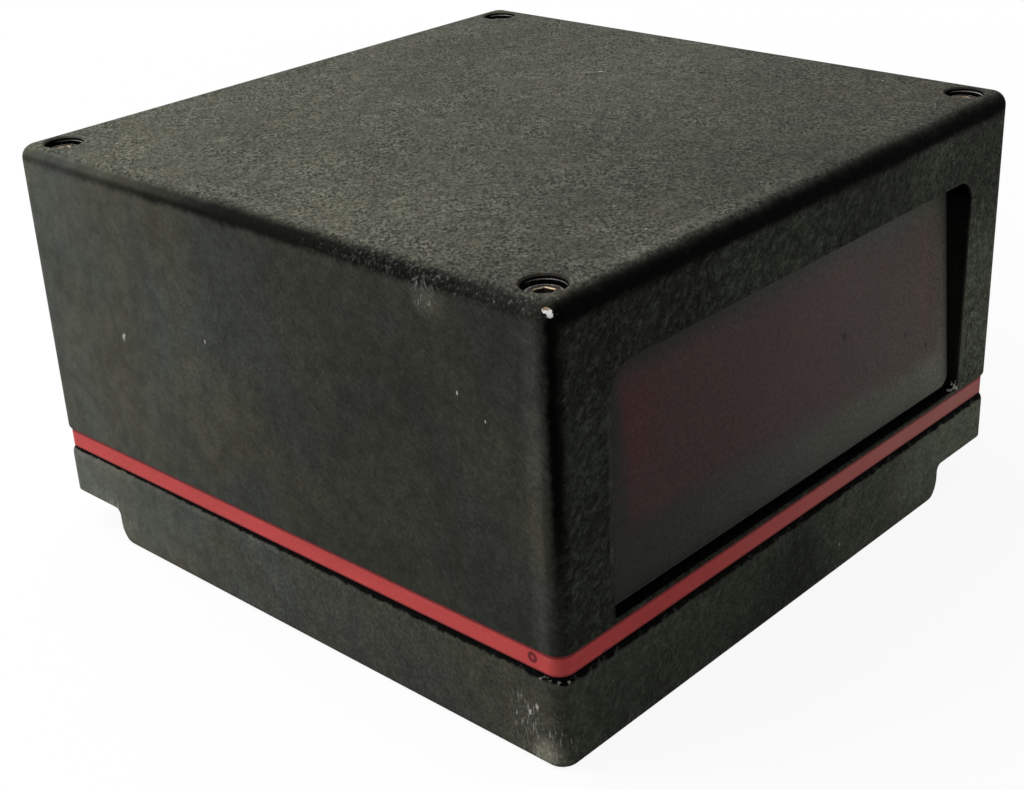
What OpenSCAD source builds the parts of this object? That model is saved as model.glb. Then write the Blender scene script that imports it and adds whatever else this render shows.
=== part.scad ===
// Fixed laser barcode reader: a square cast housing with a sloping red window, a red gasket between
// base and cover, and a spinning mirror wheel with its laser, collecting mirror and boards inside.
// Millimetres. +X runs along the window face, -Y is the window side, +Z is up, and the origin is
// the middle of the foot.

/* [Housing] */
// Width along the window face
housing_w = 112; // [104:1:130]
// Depth from the window face to the rear face
housing_d = 112; // [106:1:130]
// Height from the foot to the top of the cover
housing_h = 67.3; // [64:0.1:80]
// Height of the cast base
base_h = 14.7; // [13.7:0.1:18]
// Thickness of the red gasket
gasket_t = 3.2; // [2:0.1:5]
// How far the gasket's edge stands back from the sides
gasket_inset = 0.4; // [0.2:0.1:1]
// Radius of the upright corners
corner_r = 2.8; // [2.6:0.1:6]
// Radius round the top of the cover
top_edge_r = 2.2; // [1:0.1:2.5]
// Radius along the cover's lower edge
lip_edge_r = 0.6; // [0.3:0.1:1.2]
// Radius along the base's upper edge
shoulder_r = 1.6; // [0.6:0.1:2]
// Radius along the lower edge of the base
foot_edge_r = 1.2; // [0.5:0.1:2]
// Thickness of the cover's walls
wall_t = 3; // [2:0.1:4]
// Thickness of the cover's roof
roof_t = 3; // [2:0.1:6]
// Thickness of the two ribs under the roof
rib_t = 2; // [1.2:0.1:3]
// Depth of the ribs under the roof
rib_h = 2.5; // [1:0.1:4]
// Width of the base's rim under the gasket
rim_w = 6.5; // [5.5:0.1:8]
// Thickness of the base's floor
floor_t = 3; // [2:0.1:4]

/* [Base notches] */
// Length of each corner notch across the housing
notch_w = 16; // [12:0.5:18]
// Length of each corner notch along the housing's depth
notch_d = 13.6; // [12:0.1:18]
// Height of each corner notch
notch_h = 6.4; // [5.5:0.1:7.5]
// Radius in a notch's inner corner
notch_in_r = 1.2; // [0.5:0.1:2]
// Radius where a notch runs out into the foot
notch_out_r = 4; // [1:0.1:4.2]

/* [Foot mounting holes] */
// Pitch of the tapped mounting holes, a square pattern
mount_pitch = 50; // [40:1:52]
// Tapping diameter of a mounting hole
mount_hole_d = 3.3; // [2.5:0.1:4.2]
// Depth of a mounting hole
mount_depth = 5.5; // [4:0.1:6.5]
// Metal round and over a mounting hole
mount_wall = 2.5; // [1.5:0.1:2.8]

/* [Cover screws] */
// Distance of a cover screw's axis from either side
screw_inset = 5.6; // [5.3:0.1:6.5]
// Thread diameter of a cover screw
screw_d = 3; // [2.5:0.1:3.5]
// Diameter of a cover screw's head
screw_head_d = 5.5; // [4.8:0.1:6]
// Height of a cover screw's head
screw_head_h = 3; // [2:0.1:4]
// Width across flats of a cover screw's hex socket
screw_socket_w = 2.5; // [2:0.1:3]
// How far a head lies below the top of the cover
screw_sink = 1.1; // [0.5:0.1:3]
// Length of thread that a cover screw has in the base
screw_grip = 6; // [4:0.1:7.5]
// Bevel at the mouth of a screw's counterbore
mouth_bevel = 0.35; // [0.1:0.05:0.5]
// Metal round a counterbore
pillar_wall = 2; // [1:0.1:2.4]

/* [Window] */
// Width of the window opening
window_w = 90; // [80:0.5:94]
// Height of the window opening
window_h = 36.9; // [33:0.1:38]
// Radius of the opening's upper corners
window_r = 4; // [2:0.1:6]
// Radius of the opening's lower corners
window_low_r = 1; // [0.8:0.1:4]
// Radius of the pane's lower corners
pane_low_r = 2.6; // [1:0.1:4]
// Gap between the opening's sill and the lower edge of the pane
pane_gap = 0.5; // [0.1:0.1:1]
// Height of the lip under the opening
sill_h = 0.8; // [0.7:0.1:3]
// How far the lower edge of the pane lies behind the front face
sill_depth = 1.8; // [0.5:0.1:3]
// Slope of the pane, leaning inwards at the top
window_tilt = 4.5; // [1:0.1:7]
// Thickness of the red pane
pane_t = 2; // [1.5:0.1:3]
// Thickness of the seal behind the pane
seal_t = 0.6; // [0.3:0.1:1]
// Width of the ledge behind the pane at its sides
ledge_side = 3.5; // [2:0.1:6]
// Width of the ledge behind the top of the pane
ledge_top = 5; // [2:0.1:7]
// Width of the ledge behind the bottom of the pane
ledge_low = 6.5; // [3:0.1:8]
// Metal behind the seal, at the thinnest place
ledge_t = 2.4; // [1.5:0.1:3]
// Metal round the opening on the inside
frame_side = 3.5; // [2:0.1:4]

/* [Rear connector] */
// Distance of the connector's axis from the right side
conn_inset = 28; // [26:0.5:41]
// Height of the connector's axis over the cover's lower edge
conn_rise = 25; // [20:0.5:30]
// Thread diameter of the connector's shell
conn_d = 16; // [12:0.5:18]
// Length of the thread outside the flange
conn_reach = 9; // [6:0.5:12]
// Length of the thread inside the wall
conn_tail = 6; // [5:0.5:7]
// Width of the flange beyond the thread
conn_flange_w = 2.2; // [1.5:0.1:4]
// Thickness of the flange
conn_flange_t = 2.5; // [1.5:0.1:4]
// Wall of the connector's shell
conn_wall = 1.6; // [1:0.1:2]
// Number of contacts on the circle
conn_contacts = 7; // [5:1:8]
// Height of the nut inside
conn_nut_h = 3; // [2:0.1:4]
// Wall of the nut at its flats
conn_nut_wall = 2; // [1.5:0.1:3]
// Thickness of the sealing washer
washer_t = 1; // [0.6:0.1:1.6]

/* [Boards and chassis] */
// Gap between the base's rim and the main board
board_side_gap = 5.5; // [4.5:0.1:8]
// Room under the main board, over the notches' floor
board_gap = 1.1; // [0.6:0.1:2]
// Thickness of the boards
board_t = 1.6; // [1:0.1:2]
// Diameter of the base's posts for the main board
post_d = 7; // [6:0.1:7.4]
// Distance of a post's axis from the notch's inner wall
post_gap = 4; // [3.8:0.1:6]
// Thread diameter of the stand-offs and inner screws
inner_d = 3; // [2.5:0.1:3]
// Width across flats of the stand-offs
standoff_w = 5.5; // [5:0.1:6.4]
// Length of thread in the stand-offs and posts
inner_grip = 5; // [4:0.1:5.5]
// Thickness of the chassis plate
chassis_t = 2; // [1.5:0.1:3]
// Gap between the chassis and the cover's side walls
chassis_gap = 7; // [4:0.1:8]
// Gap between the chassis and the window frame
chassis_front_gap = 3.5; // [2:0.1:5]
// Room behind the chassis for the wiring
rear_bay = 14; // [12:0.1:15]
// Thickness of the bent sheet brackets
sheet_t = 1.5; // [1:0.1:2]

/* [Parts on the main board] */
// Gap between the parts
part_gap = 4; // [3:0.1:5]
// Edge length of the processor
processor_w = 22; // [16:0.5:24]
// Width of a memory chip
memory_w = 10; // [8:0.5:11]
// Length of a memory chip
memory_l = 18; // [14:0.5:20]
// Height of the chips
chip_h = 2.6; // [1.5:0.1:3.5]
// Pitch of the chips' pins
pin_pitch = 2; // [1.27:0.01:2.54]
// Diameter of a capacitor
can_d = 8; // [6:0.1:9]
// Diameter of the inductor
inductor_d = 11; // [8:0.5:12]
// Height of the inductor
inductor_h = 5; // [4:0.1:6]
// Length of the crystal's can
crystal_l = 11; // [8:0.5:12]
// Width of the crystal's can
crystal_w = 4.6; // [3:0.1:5]

/* [Wiring] */
// Diameter of the harness from the connector
harness_d = 3.6; // [3:0.1:4.4]
// Diameter of the leads of motor, laser and detector
lead_d = 1.8; // [1.7:0.1:2]
// Width of the header that takes the harness
header_w = 20; // [16:0.5:21]
// Width of a header that takes leads
lead_header_w = 8; // [6:0.5:9]
// Depth of the headers
header_d = 5; // [4:0.1:5.5]
// Height of the headers
header_h = 7; // [5:0.1:8]

/* [Mirror wheel and motor] */
// Number of mirror facets
wheel_facets = 8; // [6:1:12]
// Distance of a facet from the wheel's axis
wheel_r = 16; // [14:0.5:18]
// Height of the facets
wheel_h = 10; // [8:0.5:14]
// Distance of the wheel's axis behind the middle of the housing
wheel_y = 8; // [4:0.5:10]
// Diameter of the wheel's shaft
shaft_d = 3; // [2:0.1:4]
// Running clearance of the shaft, on the radius
shaft_gap = 0.03; // [0.01:0.01:0.08]
// Diameter of the bearing sleeve
sleeve_d = 8; // [7:0.1:9]
// Width of the sleeve's flange
sleeve_flange_w = 1.5; // [1:0.1:1.7]
// Thickness of the rotor's steel disc
yoke_t = 1.2; // [0.8:0.1:2]
// Thickness of the ring magnet
magnet_t = 2; // [1:0.1:3]
// Air gap between magnet and coils
air_gap = 0.5; // [0.3:0.1:1]
// Thickness of the flat coils
coil_t = 2.2; // [1.5:0.1:3]
// Outer diameter of a flat coil
coil_d = 7; // [5:0.1:8]
// Radius of the circle that the coils lie on
coil_ring_r = 9.5; // [9.3:0.1:10]
// Width of the motor plate
motor_plate_w = 44; // [38:0.5:46]
// Depth of the motor plate
motor_plate_d = 40; // [38:0.5:41]
// Thickness of the motor plate
motor_plate_t = 1.6; // [1:0.1:2]

/* [Laser and mirrors] */
// Diameter of the laser's barrel
barrel_d = 10; // [8:0.1:11]
// Length of the laser's barrel
barrel_l = 24; // [20:0.5:28]
// Wall of the laser's barrel
barrel_wall = 1.6; // [1:0.1:1.8]
// Width of the clamp block
block_w = 16; // [15:0.1:18]
// Length of the clamp block
block_l = 16; // [12:0.1:17]
// Metal over the laser's barrel
block_roof = 4; // [3.4:0.1:7]
// Width of the clamp's slot
clamp_slot_w = 1.2; // [0.6:0.1:2]
// Distance of the laser's axis from the left wall
laser_from_wall = 27; // [24:0.5:30]
// Edge length of the folding mirror
fold_w = 9; // [7:0.1:10]
// Thickness of the folding mirror
fold_t = 1.5; // [1:0.1:2]
// Width of the collecting mirror
collector_w = 30; // [24:0.5:32]
// Thickness of the collecting mirror at its edge
collector_t = 5; // [4.5:0.1:7]
// Radius of the collecting mirror's hollow face
collector_r = 60; // [55:1:120]
// Depth of the hollow face at the middle
collector_hollow = 3; // [1:0.1:3.5]
// Distance of the collecting mirror's back from the left wall
collector_from_wall = 11; // [10:0.1:13]
// Turn of the collecting mirror towards the detector
collector_turn = 20; // [15:0.5:24]
// Distance of the detector from the collecting mirror
detector_reach = 28; // [26:0.5:32]
// Width of the detector board
detector_w = 16; // [14:0.5:17]
// Diameter of the photodiode's can
photodiode_d = 9; // [6:0.1:10]

/* [Hidden] */
$fn = 64;
// Small named clearances: drop-in parts, screws in their threads, parts turned to one another
drop_gap = 0.2;
thread_gap = 0.03;
seat_gap = 0.02;
// Reach of a cutting shape past the face that it cuts
over = 1;
far = 300;

// Levels of the housing
half_w = housing_w / 2;
half_d = housing_d / 2;
cover_z = base_h + gasket_t;
roof_z = housing_h - roof_t;
left_wall_x = wall_t - half_w;
rear_wall_y = half_d - wall_t;

// Cover screws
bore_r = screw_head_d / 2 + drop_gap;
pillar_r = bore_r + pillar_wall;
shank_hole_r = screw_d / 2 + drop_gap;
head_seat_z = housing_h - screw_sink - screw_head_h;
cover_screw_l = head_seat_z - base_h + screw_grip;
screw_x = half_w - screw_inset;
screw_y = half_d - screw_inset;

// Window: the sill line, the pane's edges along its slope, and the frame's depth
sill_z = cover_z + sill_h;
lintel_z = sill_z + window_h;
pane_low = (pane_gap + pane_t * sin(window_tilt)) / cos(window_tilt);
pane_high = (window_h - drop_gap) / cos(window_tilt);
pane_w = window_w - 2 * drop_gap;
frame_depth = sill_depth + window_h * tan(window_tilt) + (pane_t + seal_t) / cos(window_tilt) + ledge_t;
frame_y = frame_depth - half_d;
light_w = window_w - 2 * ledge_side;
light_h = window_h - ledge_low - ledge_top;
light_z = sill_z + ledge_low + light_h / 2;
light_r = max(window_r - 1, 1);

// Optical axis and the stack that carries it
axis_z = sill_z + window_h / 2;
wheel_z = axis_z - wheel_h / 2;
yoke_z = wheel_z - yoke_t;
magnet_z = yoke_z - magnet_t;
coil_z = magnet_z - air_gap - coil_t;
motor_z = coil_z - motor_plate_t;
chassis_top = motor_z;
chassis_z = chassis_top - chassis_t;
optic_h = axis_z - chassis_top;

// Main board and its posts
board_z = notch_h + floor_t + board_gap;
board_top = board_z + board_t;
board_w = housing_w - 2 * (rim_w + board_side_gap);
board_d = housing_d - 2 * (rim_w + board_side_gap);
board_corner_r = 2;
post_inset = max(notch_w, notch_d) + floor_t + post_gap;
post_x = half_w - post_inset;
post_y = half_d - post_inset;
standoff_l = chassis_z - board_top;
standoff_floor = 1.5;
inner_hole_r = inner_d / 2 + thread_gap;
inner_pass_r = inner_d / 2 + drop_gap;

// Chassis
chassis_half_w = half_w - wall_t - chassis_gap;
chassis_front_y = frame_y + chassis_front_gap;
chassis_rear_y = rear_wall_y - rear_bay;
chassis_corner_r = 4;

// Wheel: the working facet looks to the front left, and the beam leaves at the middle of the window
wheel_x = wheel_r * sin(45);
beam_y = wheel_y - wheel_r * sin(45);
wheel_bore_r = 5;
hub_r = wheel_bore_r - seat_gap;
hub_rise = 2;
clip_w = 3;
clip_t = 1;
yoke_edge = 1;
yoke_r = coil_ring_r + coil_d / 2 + yoke_edge;
magnet_clear = 0.8;
magnet_in_r = sleeve_d / 2 + sleeve_flange_w + magnet_clear;
sleeve_drop = 1.2;
sleeve_floor = 0.8;
sleeve_clear = 0.4;
sleeve_top = yoke_z - sleeve_clear;
sleeve_low = chassis_z - sleeve_drop;
sleeve_flange_t = 1;
shaft_end_gap = 0.3;
motor_hole_inset = 3;
motor_corner_r = 3;
motor_screw_d = 2.5;
motor_top = motor_z + motor_plate_t;
motor_header_d = 4;
motor_header_h = 3.2;
motor_header_y = wheel_y + (motor_plate_d - motor_header_d) / 2;
driver_w = 7;
driver_l = 4.4;
driver_y = wheel_y - (motor_plate_d - driver_l) / 2 + pin_pitch / 2;

// Laser, folding mirror, collecting mirror and detector
laser_x = left_wall_x + laser_from_wall;
block_set_back = 2;
block_y = wheel_y + block_set_back;
barrel_nose = 3;
barrel_y = block_y - barrel_nose;
barrel_in_r = barrel_d / 2 - barrel_wall;
barrel_seat = 3;
barrel_step = 1.2;
lens_set = 1;
diode_flange_t = 1.2;
diode_pin_l = 6;
diode_y = barrel_y + barrel_l - barrel_seat;
diode_end_y = diode_y + diode_flange_t + diode_pin_l;
block_h = optic_h + barrel_d / 2 + block_roof;
collector_x = left_wall_x + collector_from_wall;
collector_h = 2 * (optic_h - sheet_t);
detector_turn = -2 * collector_turn;
detector_face = 180 + detector_turn;
detector_x = collector_x + detector_reach * cos(detector_turn);
detector_y = beam_y + detector_reach * sin(detector_turn);
foot_l = 9;
foot_hole_set = foot_l / 2 + sheet_t / 3;
tab_w = 8;
foot_screw_d = 2.5;
foot_hole_r = foot_screw_d / 2 + thread_gap;

// Rear connector
conn_x = half_w - conn_inset;
conn_z = cover_z + conn_rise;
conn_r = conn_d / 2;
conn_bore_r = conn_r - conn_wall;
conn_out = washer_t + conn_flange_t + conn_reach;
conn_in = -wall_t - conn_tail;
cup_l = 3;
cup_r = 0.6;
contact_ring_r = conn_bore_r * 0.62;
boot_wall = 0.6;
boot_clear = 0.8;
boot_cap = 1.6;
boot_r = contact_ring_r + cup_r + boot_clear + boot_wall;
boot_l = cup_l + boot_cap;

// Wiring: the headers' row at the rear of the board, and the detector's leads beside its bracket
header_edge = 0.5;
header_y = (board_d - header_d) / 2 - header_edge;
header_top = board_top + header_h;
harness_r = harness_d / 2;
harness_sweep = 14;
lead_r = lead_d / 2;
lead_room = 0.8;
lead_stub = 1;
lead_reach = 3;
lead_rise = 5;
lead_side = detector_w / 2 + lead_reach;
motor_lead_x = conn_x - (header_w + lead_header_w) / 2 - part_gap;
detector_lead_x = detector_x + lead_side * sin(detector_face) - board_t / 2 * cos(detector_face);
detector_lead_y = detector_y - lead_side * cos(detector_face) - board_t / 2 * sin(detector_face);

// Places on the main board: the capacitors by the right front post, the rest beside one another
can_x = post_x - post_d;
can_y = [part_gap - post_y, 1.5 * part_gap + can_d - post_y];
can_h = 0.7 * standoff_l;
inductor_x = can_x - (can_d + inductor_d) / 2 - part_gap;
inductor_y = (can_y[0] + can_y[1]) / 2;
memory_y = detector_lead_y + (header_d + memory_l) / 2 + part_gap;
processor_x = inductor_x;
processor_y = memory_y;
memory_x = processor_x - (processor_w + memory_w) / 2 - part_gap;
memory_pitch = memory_w + part_gap;
crystal_x = processor_x + (processor_w + crystal_w) / 2 + part_gap;
crystal_h = 0.75 * crystal_w;

// Colours of the object
black_paint = "#34352f";
inner_black = "#1c1c1c";
red_rubber = "#b8443f";
red_glass = "#4a1a1c";
dark_steel = "#3b3a38";
steel = "#a9abad";
aluminium = "#c3c6c8";
brass = "#b59a55";
board_green = "#2f5d3a";
cream = "#d8d4c4";

// Shared shapes

// Rectangle with round corners, about the origin; the corners at +Y may have a radius of their own
module rounded_rect(w, d, r, far_r = undef) {
    q = is_undef(far_r) ? r : far_r;
    translate([-w / 2, r - d / 2]) square([w, d - r - q]);
    translate([r - w / 2, -d / 2]) square([w - 2 * r, d / 2]);
    translate([q - w / 2, 0]) square([w - 2 * q, d / 2]);
    for (side = [-1, 1]) {
        translate([side * (w / 2 - r), r - d / 2]) circle(r);
        translate([side * (w / 2 - q), d / 2 - q]) circle(q);
    }
}

// Plate with round corners, from z = 0 up
module plate(w, d, t, r, far_r = undef) {
    linear_extrude(t) rounded_rect(w, d, r, far_r);
}

// What rounding takes off a square corner: the arc's centre is the origin, the corner at +X and +Y
module corner_trim(r) {
    if (r > 0)
        difference() {
            square(r + over);
            circle(r);
        }
}

// Half section of a rounded edge, from the corner's centre out to reach, with its lower and
// upper outer corners rounded
module edge_section(reach, z0, z1, low_r, high_r) {
    difference() {
        translate([0, z0]) square([reach, z1 - z0]);
        translate([reach - high_r, z1 - high_r]) corner_trim(high_r);
        translate([reach - low_r, z0 + low_r]) mirror([0, 1]) corner_trim(low_r);
    }
}

// Block with round upright corners and rounded lower and upper edges
module rounded_block(w, d, r, z0, z1, low_r, high_r) {
    translate([r - w / 2, r - d / 2, z0]) cube([w - 2 * r, d - 2 * r, z1 - z0]);
    for (turn = [0, 90, 180, 270]) {
        across = turn % 180 == 0 ? w : d;
        along = turn % 180 == 0 ? d : w;
        rotate(turn) {
            translate([across / 2 - r, along / 2 - r, 0])
                rotate_extrude(angle = 90) edge_section(r, z0, z1, low_r, high_r);
            translate([across / 2 - r, along / 2 - r, 0])
                rotate([90, 0, 0])
                    linear_extrude(along - 2 * r) edge_section(r, z0, z1, low_r, high_r);
        }
    }
}

// The four places (x, y), (-x, y), (-x, -y), (x, -y)
module at_corners(x, y) {
    for (sx = [-1, 1], sy = [-1, 1])
        translate([sx * x, sy * y, 0]) children();
}

// Socket-head cap screw, seat of the head at z = 0
module cap_screw(d, head_d, head_h, socket_w, l) {
    socket_floor = 0.45 * head_h;
    difference() {
        union() {
            cylinder(d = head_d, h = head_h);
            translate([0, 0, -l]) cylinder(d = d, h = l);
        }
        translate([0, 0, socket_floor])
            cylinder(d = socket_w / cos(30), h = head_h, $fn = 6);
    }
}

// Slotted cheese-head screw, seat of the head at z = 0
module slot_screw(d, l) {
    head_d = 1.8 * d;
    head_h = 0.65 * d;
    slot_w = 0.25 * d;
    slot_floor = 0.55 * head_h;
    difference() {
        union() {
            cylinder(d = head_d, h = head_h);
            translate([0, 0, -l]) cylinder(d = d, h = l);
        }
        translate([-head_d, -slot_w / 2, slot_floor]) cube([2 * head_d, slot_w, head_h]);
    }
}

// Ring from z = 0 up
module ring(out_r, in_r, h) {
    difference() {
        cylinder(r = out_r, h = h);
        translate([0, 0, -over]) cylinder(r = in_r, h = h + 2 * over);
    }
}

// Bent sheet: a foot along +X and an upright at x = 0, both of width w along Y
module bent_sheet(w, foot, upright) {
    translate([0, w / 2, 0])
        rotate([90, 0, 0])
            linear_extrude(w) {
                translate([sheet_t, 0]) square([foot - sheet_t, sheet_t]);
                translate([0, sheet_t]) square([sheet_t, upright - sheet_t]);
                intersection() {
                    square(sheet_t);
                    translate([sheet_t, sheet_t]) circle(sheet_t);
                }
            }
}

// Tube of radius r along a route, with a flat end at each end
function unit(v) = v / norm(v);
function heading(p, i) = unit(p[min(i + 1, len(p) - 1)] - p[max(i - 1, 0)]);
function tube_ring(p, i, r, sides) =
    let (t = heading(p, i), a = [1, 0, 0], b = unit(cross(t, a)))
    [for (k = [0 : sides - 1]) p[i] + r * (cos(360 * k / sides) * a + sin(360 * k / sides) * b)];

module tube(route, r, sides = 8) {
    rings = len(route);
    points = [for (i = [0 : rings - 1]) each tube_ring(route, i, r, sides)];
    walls = [for (i = [0 : rings - 2], k = [0 : sides - 1])
        let (n = (k + 1) % sides)
        [i * sides + k, i * sides + n, (i + 1) * sides + n, (i + 1) * sides + k]];
    first = [for (k = [sides - 1 : -1 : 0]) k];
    last = [for (k = [0 : sides - 1]) (rings - 1) * sides + k];
    polyhedron(points, concat(walls, [first, last]), convexity = 4);
}

// Route in the YZ plane from a, first along Y by about ahead, then down to b: a curve between two
// straight stubs, which come down steeper the more they pull
function bezier(a, b, c, d, t) =
    pow(1 - t, 3) * a + 3 * t * pow(1 - t, 2) * b + 3 * t * t * (1 - t) * c + pow(t, 3) * d;
function drop_route(a, b, ahead, pull = 0.9, steps = 10) =
    let (p = a + [0, sign(ahead) * lead_stub, 0], q = b + [0, 0, lead_stub])
    let (p_out = p + [0, ahead, 0], q_up = q + [0, 0, pull * (p[2] - q[2])])
    concat([a], [for (k = [0 : steps]) bezier(p, p_out, q_up, q, k / steps)], [b]);

// Chip on a board: a body with its first corner nicked, and pins down the sides at the given turns
module chip(w, l, turns) {
    pin_w = 0.4 * pin_pitch;
    pin_reach = 0.8;
    linear_extrude(chip_h)
        difference() {
            square([w, l], center = true);
            translate([-w / 2, l / 2]) circle(pin_pitch / 2);
        }
    for (turn = turns) {
        across = turn % 180 == 0 ? w : l;
        along = turn % 180 == 0 ? l : w;
        pins = floor(along / pin_pitch) - 1;
        rotate(turn)
            for (k = [0 : pins - 1])
                translate([across / 2 - pin_reach, (k - (pins - 1) / 2) * pin_pitch - pin_w / 2, 0])
                    cube([2 * pin_reach, pin_w, chip_h / 2]);
    }
}

// Frames of reference

// On the outer face of the pane: +Y goes in, +Z goes up the slope, from the sill line
module on_window() {
    translate([0, sill_depth - half_d, sill_z]) rotate([-window_tilt, 0, 0]) children();
}

// On the rear face at the connector: +Z goes out
module on_connector() {
    translate([conn_x, half_d, conn_z]) rotate([-90, 0, 0]) children();
}

// On the chassis at the wheel's axis
module on_wheel_axis(z) {
    translate([wheel_x, wheel_y, z]) children();
}

// On the chassis at the collecting mirror: +X looks along its axis
module on_collector() {
    translate([collector_x, beam_y, chassis_top]) rotate(-collector_turn) children();
}

// On the chassis at the detector: +X looks back at the collecting mirror
module on_detector() {
    translate([detector_x, detector_y, chassis_top]) rotate(detector_face) children();
}

// Shape pushed in through the front face, centred at height z, with its upper and lower corners' radii
module through_front(w, h, r, low_r, z, depth) {
    translate([0, -half_d - over, z])
        rotate([-90, 0, 0]) plate(w, h, depth + over, r, low_r);
}

// Casting of the base

// Section of a corner notch: in from the side along X, up from the foot along Y
module notch_section(length) {
    difference() {
        translate([-over, -over]) square([length + over, notch_h + over]);
        translate([length - notch_in_r, notch_h - notch_in_r]) corner_trim(notch_in_r);
    }
    translate([length + notch_out_r, notch_out_r]) rotate(180) corner_trim(notch_out_r);
}

// What a notch takes out of the foot at the front right corner
module notch_cut() {
    reach_x = notch_w + notch_out_r + 2 * over;
    reach_y = notch_d + notch_out_r + 2 * over;
    translate([half_w, -half_d, 0])
        intersection() {
            translate([0, reach_y - over, 0])
                rotate([90, 0, 0]) mirror([1, 0, 0]) linear_extrude(reach_y) notch_section(notch_w);
            translate([-reach_x + over, 0, 0])
                rotate([90, 0, 90]) linear_extrude(reach_x) notch_section(notch_d);
        }
}

// Hollow of the base: clear of the screw pillars and of the metal over the notches
module base_hollow() {
    block_w = notch_w + floor_t;
    block_d = notch_d + floor_t;
    difference() {
        translate([0, 0, floor_t])
            plate(housing_w - 2 * rim_w, housing_d - 2 * rim_w, base_h, corner_r);
        at_corners(screw_x, screw_y) cylinder(r = pillar_r, h = base_h + far);
        for (turn = [0, 180])
            rotate(turn)
                translate([half_w - block_w, -half_d - over, 0])
                    cube([block_w + over, block_d + over, notch_h + floor_t]);
    }
}

module base() {
    join_z = (notch_h + foot_edge_r + base_h - shoulder_r) / 2;
    boss_top = mount_depth + mount_wall / 2;
    post_hole_depth = inner_grip + over;
    color(black_paint)
        difference() {
            union() {
                difference() {
                    union() {
                        rounded_block(housing_w, housing_d, corner_r, notch_h, base_h,
                            foot_edge_r, shoulder_r);
                        difference() {
                            rounded_block(housing_w, housing_d, corner_r, 0, join_z, foot_edge_r, 0);
                            for (turn = [0, 180])
                                rotate(turn) notch_cut();
                        }
                    }
                    base_hollow();
                }
                at_corners(post_x, post_y)
                    translate([0, 0, floor_t / 2]) cylinder(d = post_d, h = board_z - floor_t / 2);
                at_corners(mount_pitch / 2, mount_pitch / 2)
                    translate([0, 0, floor_t / 2])
                        cylinder(r = mount_hole_d / 2 + mount_wall, h = boss_top - floor_t / 2);
            }
            at_corners(mount_pitch / 2, mount_pitch / 2)
                translate([0, 0, -over]) cylinder(d = mount_hole_d, h = mount_depth + over);
            at_corners(post_x, post_y)
                translate([0, 0, board_z - post_hole_depth])
                    cylinder(r = inner_hole_r, h = post_hole_depth + over);
            at_corners(screw_x, screw_y)
                translate([0, 0, base_h - screw_grip - over / 2])
                    cylinder(r = screw_d / 2 + thread_gap, h = screw_grip + 2 * over);
        }
}

// Cover, gasket and screws

module housing_gasket() {
    in_w = housing_w - 2 * rim_w;
    in_d = housing_d - 2 * rim_w;
    color(red_rubber)
        translate([0, 0, base_h])
            difference() {
                plate(housing_w - 2 * gasket_inset, housing_d - 2 * gasket_inset, gasket_t,
                    corner_r - gasket_inset);
                difference() {
                    translate([0, 0, -over]) plate(in_w, in_d, gasket_t + 2 * over, corner_r);
                    at_corners(screw_x, screw_y)
                        translate([0, 0, -2 * over]) cylinder(r = pillar_r, h = gasket_t + 4 * over);
                }
                at_corners(screw_x, screw_y)
                    translate([0, 0, -over]) cylinder(r = shank_hole_r, h = gasket_t + 2 * over);
            }
}

// Recess of the window from the front face to the seat of the seal
module window_recess() {
    intersection() {
        through_front(window_w, window_h, window_r, window_low_r, sill_z + window_h / 2, frame_depth);
        on_window()
            translate([-far / 2, -far, -far / 2]) cube([far, far + pane_t + seal_t, far]);
    }
}

// Ribs under the roof, from the front wall to the rear wall
module roof_ribs() {
    for (side = [-1, 1])
        translate([side * housing_w / 6 - rib_t / 2, wall_t / 2 - half_d, roof_z - rib_h])
            cube([rib_t, housing_d - wall_t, rib_h + roof_t / 2]);
}

module cover_shell() {
    in_r = max(corner_r - wall_t, 1);
    difference() {
        rounded_block(housing_w, housing_d, corner_r, cover_z, housing_h, lip_edge_r, top_edge_r);
        translate([0, 0, cover_z - over])
            plate(housing_w - 2 * wall_t, housing_d - 2 * wall_t, roof_z - cover_z + over, in_r);
    }
    at_corners(screw_x, screw_y)
        translate([0, 0, cover_z]) cylinder(r = pillar_r, h = housing_h - top_edge_r - cover_z);
    frame_w = window_w + 2 * frame_side;
    translate([-frame_w / 2, wall_t / 2 - half_d, cover_z])
        cube([frame_w, frame_depth - wall_t / 2, lintel_z + frame_side - cover_z]);
    roof_ribs();
}

module cover() {
    color(black_paint)
        difference() {
            cover_shell();
            window_recess();
            through_front(light_w, light_h, light_r, light_r, light_z, frame_depth + over);
            at_corners(screw_x, screw_y) {
                translate([0, 0, cover_z - over]) cylinder(r = shank_hole_r, h = housing_h);
                translate([0, 0, head_seat_z]) cylinder(r = bore_r, h = housing_h);
                translate([0, 0, housing_h - mouth_bevel])
                    cylinder(r1 = bore_r, r2 = bore_r + 2 * mouth_bevel, h = 2 * mouth_bevel);
            }
            on_connector()
                translate([0, 0, -wall_t - over]) cylinder(r = conn_r + drop_gap, h = wall_t + 2 * over);
        }
}

module cover_screws() {
    color(dark_steel)
        at_corners(screw_x, screw_y)
            translate([0, 0, head_seat_z])
                cap_screw(screw_d, screw_head_d, screw_head_h, screw_socket_w, cover_screw_l);
}

// Plate that lies along the pane, from depth y to y + t
module pane_plate(inset, y, t) {
    h = pane_high - pane_low - 2 * inset;
    ease = drop_gap + inset / 2;
    on_window()
        translate([0, y, (pane_low + pane_high) / 2])
            rotate([-90, 0, 0])
                plate(pane_w - 2 * inset, h, t, window_r - ease, pane_low_r - ease);
}

module window() {
    color(red_glass) pane_plate(0, 0, pane_t);
}

module window_seal() {
    color(inner_black)
        difference() {
            pane_plate(drop_gap, pane_t, seal_t);
            through_front(light_w + drop_gap, light_h + drop_gap, light_r, light_r, light_z,
                frame_depth + over);
        }
}

// Rear connector

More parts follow.
